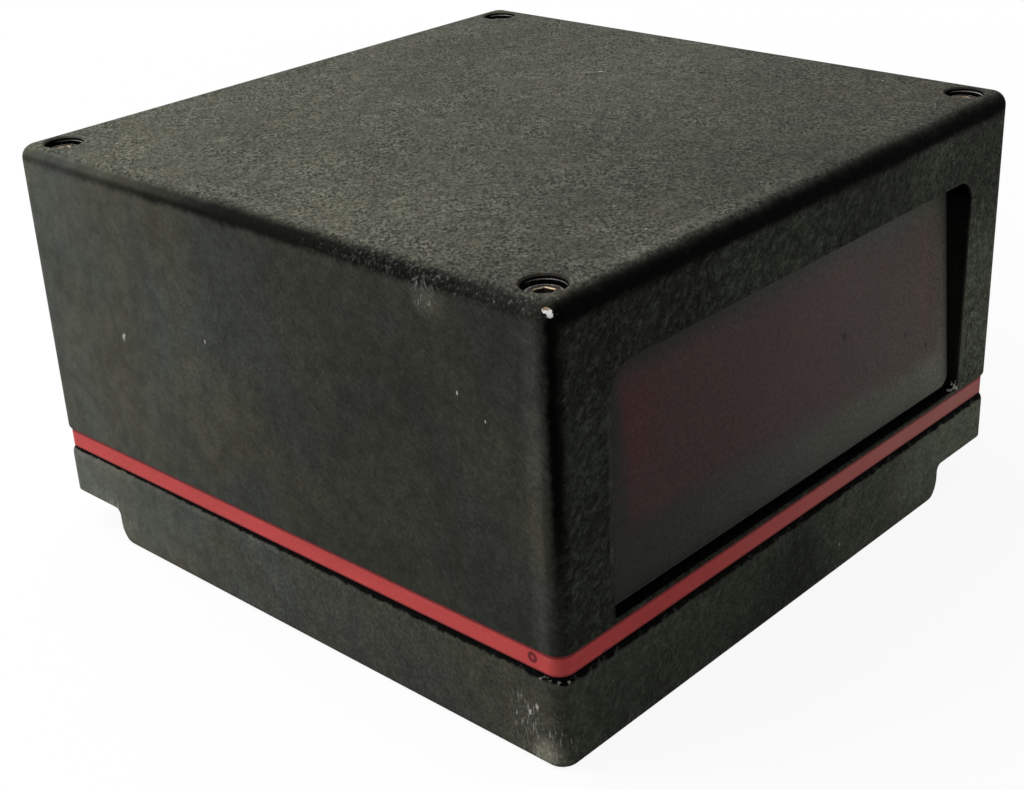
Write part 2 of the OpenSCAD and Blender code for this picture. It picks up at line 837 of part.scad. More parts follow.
module connector_shell() {
    color(steel)
        on_connector()
            difference() {
                union() {
                    translate([0, 0, conn_in]) cylinder(r = conn_r, h = conn_out - conn_in);
                    translate([0, 0, washer_t]) cylinder(r = conn_r + conn_flange_w, h = conn_flange_t);
                }
                translate([0, 0, conn_in - over])
                    cylinder(r = conn_bore_r, h = conn_out - conn_in + 2 * over);
            }
}

module connector_washer() {
    color(inner_black)
        on_connector() ring(conn_r + conn_flange_w - drop_gap, conn_r + drop_gap, washer_t);
}

module connector_nut() {
    across = conn_d + 2 * conn_nut_wall;
    color(steel)
        on_connector()
            translate([0, 0, -wall_t - conn_nut_h])
                difference() {
                    cylinder(d = across / cos(30), h = conn_nut_h, $fn = 6);
                    translate([0, 0, -over]) cylinder(r = conn_r + thread_gap, h = conn_nut_h + 2 * over);
                }
}

// The contacts' places: one in the middle and the rest on a circle
module at_contacts() {
    children();
    for (k = [0 : conn_contacts - 1])
        rotate(k * 360 / (conn_contacts + 1) + 180 / (conn_contacts + 1) - 90)
            translate([contact_ring_r, 0, 0]) children();
}

module connector_insert() {
    insert_sink = 1.2;
    contact_hole_r = 0.55;
    contact_depth = 5;
    key_w = 1.8;
    key_depth = 1.1;
    face_z = conn_out - insert_sink;
    color(inner_black)
        on_connector()
            difference() {
                translate([0, 0, conn_in]) cylinder(r = conn_bore_r - seat_gap, h = face_z - conn_in);
                translate([0, 0, face_z - contact_depth])
                    at_contacts() cylinder(r = contact_hole_r, h = contact_depth + over);
                translate([-conn_bore_r - over, -key_w / 2, face_z - contact_depth])
                    cube([over + key_depth, key_w, contact_depth + over]);
            }
}

module connector_cups() {
    color(brass)
        on_connector()
            translate([0, 0, conn_in - cup_l]) at_contacts() cylinder(r = cup_r, h = cup_l);
}

module harness_boot() {
    color(inner_black)
        on_connector()
            translate([0, 0, conn_in - boot_l])
                difference() {
                    cylinder(r = boot_r, h = boot_l);
                    translate([0, 0, boot_l - cup_l - boot_wall])
                        cylinder(r = boot_r - boot_wall, h = boot_l);
                }
}

// Wiring from the connector's boot down behind the chassis to its header
module wire_harness() {
    start_y = half_d + conn_in - boot_l;
    color(inner_black)
        tube(drop_route([conn_x, start_y, conn_z], [conn_x, header_y, header_top], -harness_sweep, 0.6),
            harness_r);
}

// Main board

module main_board() {
    color(board_green)
        translate([0, 0, board_z])
            difference() {
                plate(board_w, board_d, board_t, board_corner_r);
                at_corners(post_x, post_y)
                    translate([0, 0, -over]) cylinder(r = inner_pass_r, h = board_t + 2 * over);
            }
}

module processor() {
    color(inner_black)
        translate([processor_x, processor_y, board_top])
            chip(processor_w, processor_w, [0, 90, 180, 270]);
}

module memory_chips() {
    color(inner_black)
        for (k = [0, 1])
            translate([memory_x - k * memory_pitch, memory_y, board_top]) chip(memory_w, memory_l, [0, 180]);
}

// Cans with a bead rolled in near the foot
module capacitors() {
    bead_depth = 0.4;
    bead_w = 0.8;
    bead_z = 0.12 * can_h;
    color("#2b3a55")
        for (y = can_y)
            translate([can_x, y, board_top])
                difference() {
                    cylinder(d = can_d, h = can_h);
                    translate([0, 0, bead_z]) ring(can_d, can_d / 2 - bead_depth, bead_w);
                }
}

// Bobbin with a groove for its winding
module inductor() {
    rim_t = inductor_h / 5;
    groove = 0.12 * inductor_d;
    color("#2a2a2c")
        translate([inductor_x, inductor_y, board_top])
            difference() {
                cylinder(d = inductor_d, h = inductor_h);
                translate([0, 0, rim_t])
                    ring(inductor_d, inductor_d / 2 - groove, inductor_h - 2 * rim_t);
            }
}

module crystal() {
    color(steel)
        translate([crystal_x, processor_y, board_top])
            plate(crystal_w, crystal_l, crystal_h, 0.45 * crystal_w);
}

module wire_header() {
    color(cream) translate([conn_x, header_y, board_top]) header(header_w, header_d, header_h);
}

// Plug and socket of a header, with the seam between them and a latch at the front
module header(w, d, h) {
    seam = 0.4;
    latch_w = 0.3 * w;
    translate([-w / 2, -d / 2, 0]) cube([w, d, 0.6 * h]);
    translate([seam - w / 2, seam - d / 2, 0]) cube([w - 2 * seam, d - 2 * seam, h]);
    translate([-latch_w / 2, -d / 2, 0]) cube([latch_w, d / 2, 0.85 * h]);
}

module lead_headers() {
    places = [[laser_x, header_y], [motor_lead_x, header_y], [detector_lead_x, detector_lead_y]];
    color(cream)
        for (place = places)
            translate([place[0], place[1], board_top]) header(lead_header_w, header_d, header_h);
}

module standoffs() {
    hole_depth = min(inner_grip + over, standoff_l - standoff_floor);
    color(brass)
        at_corners(post_x, post_y)
            translate([0, 0, board_top])
                difference() {
                    union() {
                        cylinder(d = standoff_w / cos(30), h = standoff_l, $fn = 6);
                        translate([0, 0, -board_t - inner_grip])
                            cylinder(d = inner_d, h = board_t + inner_grip);
                    }
                    translate([0, 0, standoff_l - hole_depth])
                        cylinder(r = inner_hole_r, h = hole_depth + over);
                }
}

// Chassis and motor

// Slot in from the rear edge of the chassis, round the wiring
module harness_slot() {
    slot_r = harness_r + 2 * lead_room;
    slot_depth = harness_r;
    translate([0, -slot_depth, 0]) cylinder(r = slot_r, h = chassis_t + 2 * over);
    translate([-slot_r, -slot_depth, 0]) cube([2 * slot_r, rear_bay, chassis_t + 2 * over]);
}

module chassis() {
    depth = chassis_rear_y - chassis_front_y;
    color(aluminium)
        difference() {
            translate([0, (chassis_front_y + chassis_rear_y) / 2, chassis_z])
                plate(2 * chassis_half_w, depth, chassis_t, chassis_corner_r);
            at_corners(post_x, post_y)
                translate([0, 0, chassis_z - over]) cylinder(r = inner_pass_r, h = chassis_t + 2 * over);
            translate([conn_x, header_y, chassis_z - over]) harness_slot();
            on_wheel_axis(chassis_z - over) cylinder(d = sleeve_d + 2 * over, h = chassis_t + 2 * over);
            at_motor_screws(chassis_z - over)
                cylinder(r = motor_screw_d / 2 + thread_gap, h = chassis_t + 2 * over);
            at_bracket_screws(chassis_z - over) cylinder(r = foot_hole_r, h = chassis_t + 2 * over);
            translate([detector_lead_x, detector_lead_y, chassis_z - over])
                cylinder(r = lead_r + lead_room, h = chassis_t + 2 * over);
        }
}

module chassis_screws() {
    color(steel)
        at_corners(post_x, post_y)
            translate([0, 0, chassis_top]) slot_screw(inner_d, chassis_t + inner_grip - drop_gap);
}

module at_motor_screws(z) {
    on_wheel_axis(z)
        at_corners(motor_plate_w / 2 - motor_hole_inset, motor_plate_d / 2 - motor_hole_inset) children();
}

module motor_plate() {
    color("#8d8f90")
        difference() {
            on_wheel_axis(motor_z) plate(motor_plate_w, motor_plate_d, motor_plate_t, motor_corner_r);
            on_wheel_axis(motor_z - over)
                cylinder(r = sleeve_d / 2 + seat_gap, h = motor_plate_t + 2 * over);
            at_motor_screws(motor_z - over)
                cylinder(r = motor_screw_d / 2 + drop_gap, h = motor_plate_t + 2 * over);
        }
}

module motor_screws() {
    color(steel)
        at_motor_screws(motor_top) slot_screw(motor_screw_d, motor_plate_t + chassis_t - drop_gap);
}

// Chip that drives the motor, at the front of its plate
module motor_driver() {
    color(inner_black) translate([wheel_x, driver_y, motor_top]) chip(driver_w, driver_l, [90, 270]);
}

module motor_header() {
    color(cream)
        translate([motor_lead_x, motor_header_y, motor_top])
            rotate(180) header(lead_header_w, motor_header_d, motor_header_h);
}

module motor_coils() {
    coils = 6;
    color("#a5602e")
        on_wheel_axis(coil_z)
            for (k = [0 : coils - 1])
                rotate(k * 360 / coils) translate([coil_ring_r, 0, 0]) ring(coil_d / 2, coil_d / 6, coil_t);
}

module bearing_sleeve() {
    color(brass)
        on_wheel_axis(0)
            difference() {
                union() {
                    translate([0, 0, sleeve_low]) cylinder(d = sleeve_d, h = sleeve_top - sleeve_low);
                    translate([0, 0, coil_z])
                        cylinder(r = sleeve_d / 2 + sleeve_flange_w, h = sleeve_flange_t);
                }
                translate([0, 0, sleeve_low + sleeve_floor])
                    cylinder(r = shaft_d / 2 + shaft_gap, h = sleeve_top - sleeve_low);
            }
}

// Turning parts

module rotor_hub() {
    shaft_low = sleeve_low + sleeve_floor + shaft_end_gap;
    color(steel)
        on_wheel_axis(0) {
            translate([0, 0, shaft_low]) cylinder(d = shaft_d, h = yoke_z - shaft_low);
            translate([0, 0, yoke_z]) cylinder(r = yoke_r, h = yoke_t);
            translate([0, 0, wheel_z]) cylinder(r = hub_r, h = wheel_h + hub_rise);
        }
}

module ring_magnet() {
    color("#55504c") on_wheel_axis(magnet_z) ring(yoke_r, magnet_in_r, magnet_t);
}

module mirror_wheel() {
    color(aluminium)
        on_wheel_axis(wheel_z)
            rotate(45 + 180 / wheel_facets)
                difference() {
                    cylinder(r = wheel_r / cos(180 / wheel_facets), h = wheel_h, $fn = wheel_facets);
                    translate([0, 0, -over]) cylinder(r = wheel_bore_r, h = wheel_h + 2 * over);
                }
}

module wheel_clip() {
    color(dark_steel) on_wheel_axis(wheel_z + wheel_h) ring(hub_r + clip_w, hub_r + seat_gap, clip_t);
}

// Laser

// On the laser's axis: +Z goes to the rear
module on_laser(y) {
    translate([laser_x, y, axis_z]) rotate([-90, 0, 0]) children();
}

module laser_block() {
    color(aluminium)
        difference() {
            translate([laser_x - block_w / 2, block_y, chassis_top]) cube([block_w, block_l, block_h]);
            on_laser(block_y - over) cylinder(r = barrel_d / 2 + seat_gap, h = block_l + 2 * over);
            translate([laser_x - clamp_slot_w / 2, block_y - over, axis_z])
                cube([clamp_slot_w, block_l + 2 * over, block_h]);
            on_clamp_screw()
                translate([0, 0, -block_w - over]) cylinder(r = foot_hole_r, h = block_w + 2 * over);
        }
}

// On the clamp screw's axis, at the right face of the block: +Z goes out
module on_clamp_screw() {
    translate([laser_x + block_w / 2, block_y + block_l / 2, axis_z + barrel_d / 2 + block_roof / 2])
        rotate([0, 90, 0]) children();
}

module clamp_screw() {
    color(steel) on_clamp_screw() slot_screw(foot_screw_d, block_w - drop_gap);
}

module laser_barrel() {
    color(brass)
        on_laser(barrel_y)
            difference() {
                cylinder(d = barrel_d, h = barrel_l);
                translate([0, 0, -over]) cylinder(r = barrel_in_r, h = barrel_seat + over);
                translate([0, 0, -over]) cylinder(r = barrel_in_r - barrel_step, h = barrel_l + 2 * over);
                translate([0, 0, barrel_l - barrel_seat]) cylinder(r = barrel_in_r, h = barrel_seat + over);
            }
}

module laser_lens() {
    lens_t = barrel_seat - lens_set;
    dome_r = 1.2 * barrel_d / 2;
    color("#9fc4cf")
        on_laser(barrel_y + lens_set)
            intersection() {
                cylinder(r = barrel_in_r - seat_gap, h = lens_t);
                translate([0, 0, dome_r]) sphere(dome_r);
            }
}

module laser_diode() {
    pin_r = 0.25;
    pin_ring_r = lead_r - 1.2 * pin_r;
    color(brass)
        on_laser(diode_y) {
            cylinder(r = barrel_in_r - seat_gap, h = diode_flange_t);
            for (k = [0 : 2])
                rotate(120 * k)
                    translate([pin_ring_r, 0, diode_flange_t]) cylinder(r = pin_r, h = diode_pin_l);
        }
}

// Mirrors and detector

// Wedge-shaped post with its upright face behind the folding mirror
module fold_post() {
    foot = 5;
    head = 3;
    h = optic_h + fold_w / 2;
    color(inner_black)
        translate([laser_x, beam_y, chassis_top])
            rotate(45)
                translate([-fold_t, fold_w / 2, 0])
                    rotate([90, 0, 0])
                        linear_extrude(fold_w) polygon([[0, 0], [0, h], [-head, h], [-foot, 0]]);
}

module fold_mirror() {
    color("#c9d3d8")
        translate([laser_x, beam_y, axis_z])
            rotate(45)
                translate([-fold_t, -fold_w / 2, -fold_w / 2]) cube([fold_t, fold_w, fold_w]);
}

module mirror_bracket() {
    gap_w = collector_w - 2 * tab_w;
    color(dark_steel)
        difference() {
            on_collector()
                translate([-sheet_t, 0, 0])
                    bent_sheet(collector_w, sheet_t + collector_t + foot_l, sheet_t + collector_h);
            on_collector()
                translate([collector_t, -gap_w / 2, -over]) cube([foot_l + over, gap_w, sheet_t + 2 * over]);
            at_bracket_screws(chassis_top - over)
                cylinder(r = foot_screw_d / 2 + drop_gap, h = sheet_t + 2 * over);
        }
}

module collecting_mirror() {
    color("#c9d3d8")
        on_collector()
            difference() {
                translate([0, -collector_w / 2, sheet_t]) cube([collector_t, collector_w, collector_h]);
                translate([collector_t - collector_hollow + collector_r, 0, optic_h])
                    sphere(collector_r, $fn = 240);
            }
}

module detector_bracket() {
    color(dark_steel)
        difference() {
            on_detector()
                translate([-board_t - sheet_t, 0, 0])
                    bent_sheet(detector_w, sheet_t + board_t + foot_l, optic_h + detector_w / 2);
            at_bracket_screws(chassis_top - over)
                cylinder(r = foot_screw_d / 2 + drop_gap, h = sheet_t + 2 * over);
        }
}

module detector_board() {
    color(board_green)
        on_detector()
            translate([-board_t, -detector_w / 2, sheet_t])
                cube([board_t, detector_w, optic_h + detector_w / 2 - sheet_t]);
}

module photodiode() {
    case_h = 4;
    rim = 0.5;
    color(steel)
        on_detector()
            translate([0, 0, optic_h])
                rotate([0, 90, 0]) {
                    cylinder(d = photodiode_d, h = 2 * rim);
                    cylinder(d = photodiode_d - 2 * rim, h = case_h);
                }
}

// Places of the screws that hold the two brackets' feet
module at_bracket_screws(z) {
    translate([0, 0, z - chassis_top]) {
        for (side = [-1, 1]) {
            on_collector()
                translate([collector_t + foot_hole_set, side * (collector_w - tab_w) / 2, 0]) children();
            on_detector()
                translate([foot_hole_set, side * (detector_w - tab_w) / 2, 0]) children();
        }
    }
}

module bracket_screws() {
    color(steel)
        at_bracket_screws(chassis_top + sheet_t)
            slot_screw(foot_screw_d, sheet_t + chassis_t - drop_gap);
}

// Leads

// From the laser's pins over the rear edge of the chassis
module laser_leads() {
    color(inner_black)
        tube(drop_route([laser_x, diode_end_y, axis_z], [laser_x, header_y, header_top],
            header_y - diode_end_y - lead_stub), lead_r);
}

// From the rear of the motor's header over the rear edge of the chassis
module motor_leads() {
    start_y = motor_header_y + motor_header_d / 2;
    start_z = motor_top + 0.3 * motor_header_h;
    color(inner_black)
        tube(drop_route([motor_lead_x, start_y, start_z], [motor_lead_x, header_y, header_top],
            header_y - start_y - lead_stub), lead_r);
}

// From the edge of the detector's board down through the chassis
module detector_leads() {
    start = [-board_t / 2, -detector_w / 2, lead_rise];
    end = [-board_t / 2, -lead_side, header_top - chassis_top];
    color(inner_black) on_detector() tube(drop_route(start, end, lead_stub - lead_reach, 0.6), lead_r);
}

base();
housing_gasket();
cover();
cover_screws();
window_seal();
window();
connector_shell();
connector_washer();
connector_nut();
connector_insert();
connector_cups();
harness_boot();
wire_harness();
main_board();
processor();
memory_chips();
capacitors();
inductor();
crystal();
wire_header();
standoffs();
chassis();
chassis_screws();
motor_plate();
motor_screws();
motor_driver();
motor_header();
motor_coils();
bearing_sleeve();
rotor_hub();
ring_magnet();
mirror_wheel();
wheel_clip();
laser_block();
clamp_screw();
laser_barrel();
laser_lens();
laser_diode();
fold_post();
fold_mirror();
mirror_bracket();
collecting_mirror();
detector_bracket();
detector_board();
photodiode();
bracket_screws();
lead_headers();
laser_leads();
motor_leads();
detector_leads();
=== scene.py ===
import math

import bmesh
import bpy
from bpy.props import FloatProperty, FloatVectorProperty, IntProperty, PointerProperty
from bpy.types import Operator, Panel, PropertyGroup
from mathutils import Matrix, Vector


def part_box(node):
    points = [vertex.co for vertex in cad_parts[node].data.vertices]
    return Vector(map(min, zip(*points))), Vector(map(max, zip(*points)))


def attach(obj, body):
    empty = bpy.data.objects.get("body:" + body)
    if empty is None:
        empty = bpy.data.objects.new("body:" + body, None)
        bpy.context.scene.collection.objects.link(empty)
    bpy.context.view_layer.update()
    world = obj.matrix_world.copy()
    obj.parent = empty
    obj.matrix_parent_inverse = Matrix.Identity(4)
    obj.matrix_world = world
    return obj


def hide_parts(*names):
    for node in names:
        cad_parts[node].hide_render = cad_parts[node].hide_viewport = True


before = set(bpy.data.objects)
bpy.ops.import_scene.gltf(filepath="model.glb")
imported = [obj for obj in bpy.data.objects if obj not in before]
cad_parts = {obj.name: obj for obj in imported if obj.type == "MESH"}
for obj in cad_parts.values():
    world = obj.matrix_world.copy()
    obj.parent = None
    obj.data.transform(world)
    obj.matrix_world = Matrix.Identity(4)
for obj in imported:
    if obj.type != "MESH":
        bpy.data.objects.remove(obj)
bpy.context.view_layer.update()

bl_info = {
    "name": "Fixed barcode reader",
    "version": (1, 0, 0),
    "blender": (4, 5, 0),
    "location": "View3D > Sidebar > Reader",
    "description": "Finishes, fasteners and studio for a cast laser reader with a red window",
    "category": "Object",
}

MM = 0.001


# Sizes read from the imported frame, in millimetres

def box_mm(node):
    """Lowest and highest corner of a CAD node, in millimetres."""
    low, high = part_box(node)
    return low / MM, high / MM


COVER_LOW, COVER_HIGH = box_mm("cover")
PANE_LOW, PANE_HIGH = box_mm("window")
SHELL_LOW, SHELL_HIGH = box_mm("connector_shell")
INSERT_LOW, INSERT_HIGH = box_mm("connector_insert")
SCREW_LOW, SCREW_HIGH = box_mm("cover_screws")
WHEEL_LOW, WHEEL_HIGH = box_mm("mirror_wheel")
GASKET_LOW, GASKET_HIGH = box_mm("housing_gasket")
LEFT, FRONT, ROOF = COVER_LOW.x, COVER_LOW.y, COVER_HIGH.z


# Small sizes that the frame doesn't give, in millimetres

SCREW_HEAD_R = 2.75
SCREW_X = SCREW_HIGH.x - SCREW_HEAD_R
SCREW_Y = SCREW_HIGH.y - SCREW_HEAD_R
BORE_R = SCREW_HEAD_R + 0.2
REAR_WALL = 3.0
WASHER_THICK = 1.0
FLANGE_THICK = 2.5
SHOULDER_DROP = 1.5


# Fineness of the turned meshes, the angle of a sharp edge, and the wave of the coil's wire per millimetre

TURN_STEPS = 144
RINGS_PER_PITCH = 10
SHARP_ANGLE = math.radians(38.0)
COIL_WAVE = 18.0


# Marks of use: the place and the reach in millimetres, and the dust that a smudge adds or takes

COVER_MARKS = {
    "chips": (((LEFT + 0.8, FRONT + 0.8, ROOF - 0.9), 0.82),
              ((PANE_HIGH.x - 0.5, FRONT + 0.5, PANE_LOW.z + 0.2), 0.85)),
    "scuffs": (((LEFT, -35.3, 63.6), 3.4),),
    "flecks": (((LEFT, -40.1, 51.7), 0.20), ((LEFT, -44.8, 49.2), 0.15), ((LEFT, 33.1, 40.4), 0.45),
               ((28.4, 6.4, ROOF), 0.45), ((-38.4, 22.8, ROOF), 0.30), ((-47.8, 2.2, ROOF), 0.25),
               ((20.0, -21.0, ROOF), 0.25), ((LEFT, 12.0, 45.0), 0.22)),
    "smudges": (((LEFT, -35.5, 63.6), 4.5, 0.70), ((LEFT, 5.0, 40.0), 24.0, 0.16),
                ((-10.0, FRONT, 62.0), 21.0, 0.9), ((31.0, FRONT, 63.0), 10.0, 0.50),
                ((51.0, FRONT, 31.0), 28.0, 1.40), ((-50.0, FRONT, 46.0), 10.0, 0.45),
                ((-50.0, FRONT, 26.0), 9.0, 0.35)),
}
BASE_MARKS = {
    "chips": (),
    "scuffs": (((LEFT, -52.0, 4.0), 6.5), ((LEFT, -49.0, 7.5), 3.5), ((-41.4, FRONT, 0.8), 2.2),
               ((-48.3, FRONT, 1.4), 1.6), ((LEFT, 44.0, 5.0), 5.0)),
    "flecks": (((LEFT, -50.1, 7.7), 0.30), ((LEFT, -51.4, 9.0), 0.35), ((10.0, FRONT, 5.0), 0.20)),
    "smudges": (((LEFT, -53.0, 2.0), 3.6, 2.1), ((LEFT, -48.0, 6.0), 8.0, 0.05),
                ((LEFT, 25.0, 7.0), 30.0, -0.18), ((-2.0, FRONT, 5.0), 15.0, -0.42),
                ((46.0, FRONT, 12.0), 26.0, 0.50)),
}
PANE_FLECKS = (((14.4, -52.7, 38.1), 1.1), ((38.1, -53.4, 28.6), 0.8), ((31.6, -53.1, 32.5), 0.6))
# Middle of the painted red glow on the pane.
PANE_GLOW_SPOT = (PANE_LOW.x + 8.0, PANE_LOW.y, 44.0)
GASKET_KNOT = (GASKET_LOW.x, -50.6, 16.4)


# Colours of the smaller pieces and of their wear, and the pane's painted edge highlight

GASKET_DUST = (0.42, 0.33, 0.29)
GASKET_GRIME = (0.05, 0.015, 0.014)
PANE_FLECK_TONE = (0.012, 0.006, 0.006)
# Painted highlight along the pane's edges.
PANE_EDGE_HIGHLIGHT = (0.075, 0.092, 0.098)
DARK_RUST = (0.030, 0.011, 0.004)
LIGHT_RUST = (0.115, 0.042, 0.014)
RUBBED_STEEL = (0.40, 0.30, 0.19)
WASHER_RUBBER = (0.014, 0.014, 0.014)
SEAL_RUBBER = (0.010, 0.010, 0.010)
WIRE_SLEEVE = (0.013, 0.013, 0.013)
LEAD_SLEEVE = (0.020, 0.014, 0.013)
INSERT_PLASTIC = (0.016, 0.016, 0.017)
POST_PLASTIC = (0.015, 0.015, 0.016)
BRACKET_PAINT = (0.018, 0.018, 0.018)
HEADER_NYLON = (0.62, 0.56, 0.43)
CHIP_RESIN = (0.020, 0.020, 0.022)
CAN_SLEEVE = (0.025, 0.042, 0.115)
BOBBIN_FERRITE = (0.030, 0.029, 0.028)
MAGNET_FERRITE = (0.036, 0.034, 0.032)
BOARD_GREEN = (0.018, 0.105, 0.045)
TRACE_GREEN = (0.055, 0.26, 0.11)
BOARD_WEAVE = ((0.10, 0.12, 0.05), (0.26, 0.25, 0.13))
SOLDER = (0.62, 0.61, 0.57)
COPPER = (0.60, 0.26, 0.10)
COIL_VARNISH = (0.16, 0.05, 0.015)
NICKEL = (0.60, 0.58, 0.54)
NUT_NICKEL = (0.58, 0.57, 0.54)
GOLD = (0.78, 0.56, 0.22)
BRASS = (0.70, 0.52, 0.24)
TIN = (0.64, 0.64, 0.62)
ZINC = (0.60, 0.61, 0.60)
ALUMINIUM = (0.66, 0.67, 0.68)
PLATE_STEEL = (0.46, 0.47, 0.47)
ROTOR_STEEL = (0.58, 0.58, 0.57)
MIRROR_SILVER = (0.86, 0.87, 0.88)
MIRROR_DUST = (0.42, 0.41, 0.38)
CLEAR_GLASS = (0.86, 0.92, 0.94)
HAZY_GLASS = (0.74, 0.84, 0.88)


# Studio: colours of the floor, as seen and in the light that it throws back, and places in metres

WHITE = (1.0, 1.0, 1.0, 1.0)
FLOOR_TONE = (0.90, 0.90, 0.90)
FLOOR_BOUNCE = (0.42, 0.42, 0.41)
FLOOR_REACH = 4.0
LAMP_AIM = Vector((0.0, 0.0, 0.035))

# Width and place of each lamp
LAMPS = {
    "top_lamp": (0.62, (-0.16, 0.26, 0.64)),
    "left_lamp": (0.50, (-0.46, 0.38, 0.28)),
    "fill_lamp": (0.50, (0.30, -0.66, 0.34)),
}


# Shader maths

def both_ways(operation):
    """An operator and its reflected form, for a value on either side of the wire."""
    return (lambda wire, other: wire.math(operation, wire, other),
            lambda wire, other: wire.math(operation, other, wire))


class Wire:
    """A socket of a material. Sums, products and limits of values add Math nodes."""

    def __init__(self, finish, socket):
        self.finish = finish
        self.socket = socket

    def math(self, operation, *terms):
        """A Math node on the given terms."""
        return self.finish.node("ShaderNodeMath", {"operation": operation}, dict(enumerate(terms)))

    __add__, __radd__ = both_ways("ADD")
    __sub__, __rsub__ = both_ways("SUBTRACT")
    __mul__, __rmul__ = both_ways("MULTIPLY")

    def __pow__(self, other):
        return self.math("POWER", self, other)

    def __neg__(self):
        return self.math("MULTIPLY", self, -1.0)

    def __abs__(self):
        return self.math("ABSOLUTE", self)

    def above(self, other):
        """The larger of two values."""
        return self.math("MAXIMUM", self, other)

    def wave(self):
        """Sine of the value."""
        return self.math("SINE", self)

    def rise(self, low, high):
        """0 up to low and 1 from high on, smooth between; it falls where low is the larger."""
        return self.finish.node("ShaderNodeMapRange", {"interpolation_type": "SMOOTHSTEP"},
                                {"Value": self, "From Min": low, "From Max": high})


class Finish:
    """A material or world in the making, with positions in millimetres in the part's frame."""

    def __init__(self, owner):
        self.owner = owner
        self.owner.use_nodes = True
        self.tree = self.owner.node_tree
        self.tree.nodes.clear()
        self._place = None

    def node(self, kind, settings=None, inputs=None, out=0):
        """Adds a node with its settings, values and links, and gives one of its outputs if it has any."""
        node = self.tree.nodes.new(kind)
        for key, value in (settings or {}).items():
            setattr(node, key, value)
        for key, value in (inputs or {}).items():
            if isinstance(value, Wire):
                self.tree.links.new(value.socket, node.inputs[key])
            else:
                node.inputs[key].default_value = value
        return Wire(self, node.outputs[out]) if node.outputs else None

    def place(self):
        """Position on the piece, in millimetres."""
        if self._place is None:
            metres = self.node("ShaderNodeTexCoord", out=3)
            self._place = self.node("ShaderNodeVectorMath", {"operation": "SCALE"},
                                    {0: metres, "Scale": 1.0 / MM})
        return self._place

    def axes(self, vector):
        """The three parts of a vector."""
        split = self.node("ShaderNodeSeparateXYZ", None, {0: vector})
        return [Wire(self, socket) for socket in split.socket.node.outputs]

    def vector(self, x, y, z):
        """A vector from its three parts."""
        return self.node("ShaderNodeCombineXYZ", None, {0: x, 1: y, 2: z})

    def facing(self):
        """The three parts of the surface's direction, in the part's frame."""
        return self.axes(self.node("ShaderNodeTexCoord", out=1))

    def stretched(self, x, y, z):
        """Position scaled along each axis, for drawn-out patterns."""
        return self.node("ShaderNodeVectorMath", {"operation": "MULTIPLY"},
                         {0: self.place(), 1: (x, y, z)})

    def noise(self, size, detail=2.0, roughness=0.5, at=None, distortion=0.0):
        """Soft noise whose features are about size millimetres wide."""
        return self.node("ShaderNodeTexNoise", None,
                         {"Vector": at or self.place(), "Scale": 1.0 / size, "Detail": detail,
                          "Roughness": roughness, "Distortion": distortion})

    def cells(self, size, out=0, at=None, feature="F1"):
        """Distance to, or colour of, the nearest of scattered points about size millimetres apart."""
        return self.node("ShaderNodeTexVoronoi", {"feature": feature},
                         {"Vector": at or self.place(), "Scale": 1.0 / size}, out)

    def distance(self, point, scale=(1.0, 1.0, 1.0)):
        """Distance in millimetres from a point on the piece, with each axis scaled."""
        return self.node("ShaderNodeVectorMath", {"operation": "DISTANCE"},
                         {0: self.stretched(*scale), 1: [p * s for p, s in zip(point, scale)]}, 1)

    def mix(self, factor, first, second):
        """Colour that goes from the first to the second."""
        return self.node("ShaderNodeMix", {"data_type": "RGBA"},
                         {0: factor, 6: colour(first), 7: colour(second)}, 2)

    def tint(self, base, strength):
        """A colour made lighter or darker by a value."""
        grey = self.node("ShaderNodeCombineColor", None, {0: strength, 1: strength, 2: strength})
        return self.node("ShaderNodeMix", {"data_type": "RGBA", "blend_type": "MULTIPLY"},
                         {0: 1.0, 6: colour(base), 7: grey}, 2)

    def bump(self, height, depth):
        """Relief of the given depth in millimetres."""
        return self.node("ShaderNodeBump", None,
                         {"Strength": 1.0, "Distance": depth * MM, "Height": height})

    def surface(self, **sockets):
        """The finished material; its shader's sockets are named with underscores for spaces."""
        inputs = {key.replace("_", " "): colour(value) for key, value in sockets.items()}
        self.end(self.node("ShaderNodeBsdfPrincipled", None, inputs))
        return self.owner

    def end(self, shader, kind="ShaderNodeOutputMaterial"):
        """Links the shader to the tree's output."""
        self.node(kind, None, {"Surface": shader})


def finish(name):
    """A new, empty material."""
    return Finish(bpy.data.materials.new(name))


def colour(value):
    """Colours get their fourth part; anything else stays."""
    if isinstance(value, (Wire, int, float)):
        return value
    return tuple(value)[:3] + (1.0,)


def span(across, along):
    """Length from two values at right angles."""
    return (across ** 2.0 + along ** 2.0) ** 0.5


def from_screw(x, y):
    """Distance from the axis of the nearest cover screw."""
    return span(abs(x) - SCREW_X, abs(y) - SCREW_Y)


def dress(material, *names):
    """Gives CAD nodes their finish."""
    for name in names:
        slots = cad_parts[name].data.materials
        slots.clear()
        slots.append(material)


# Finish of the castings

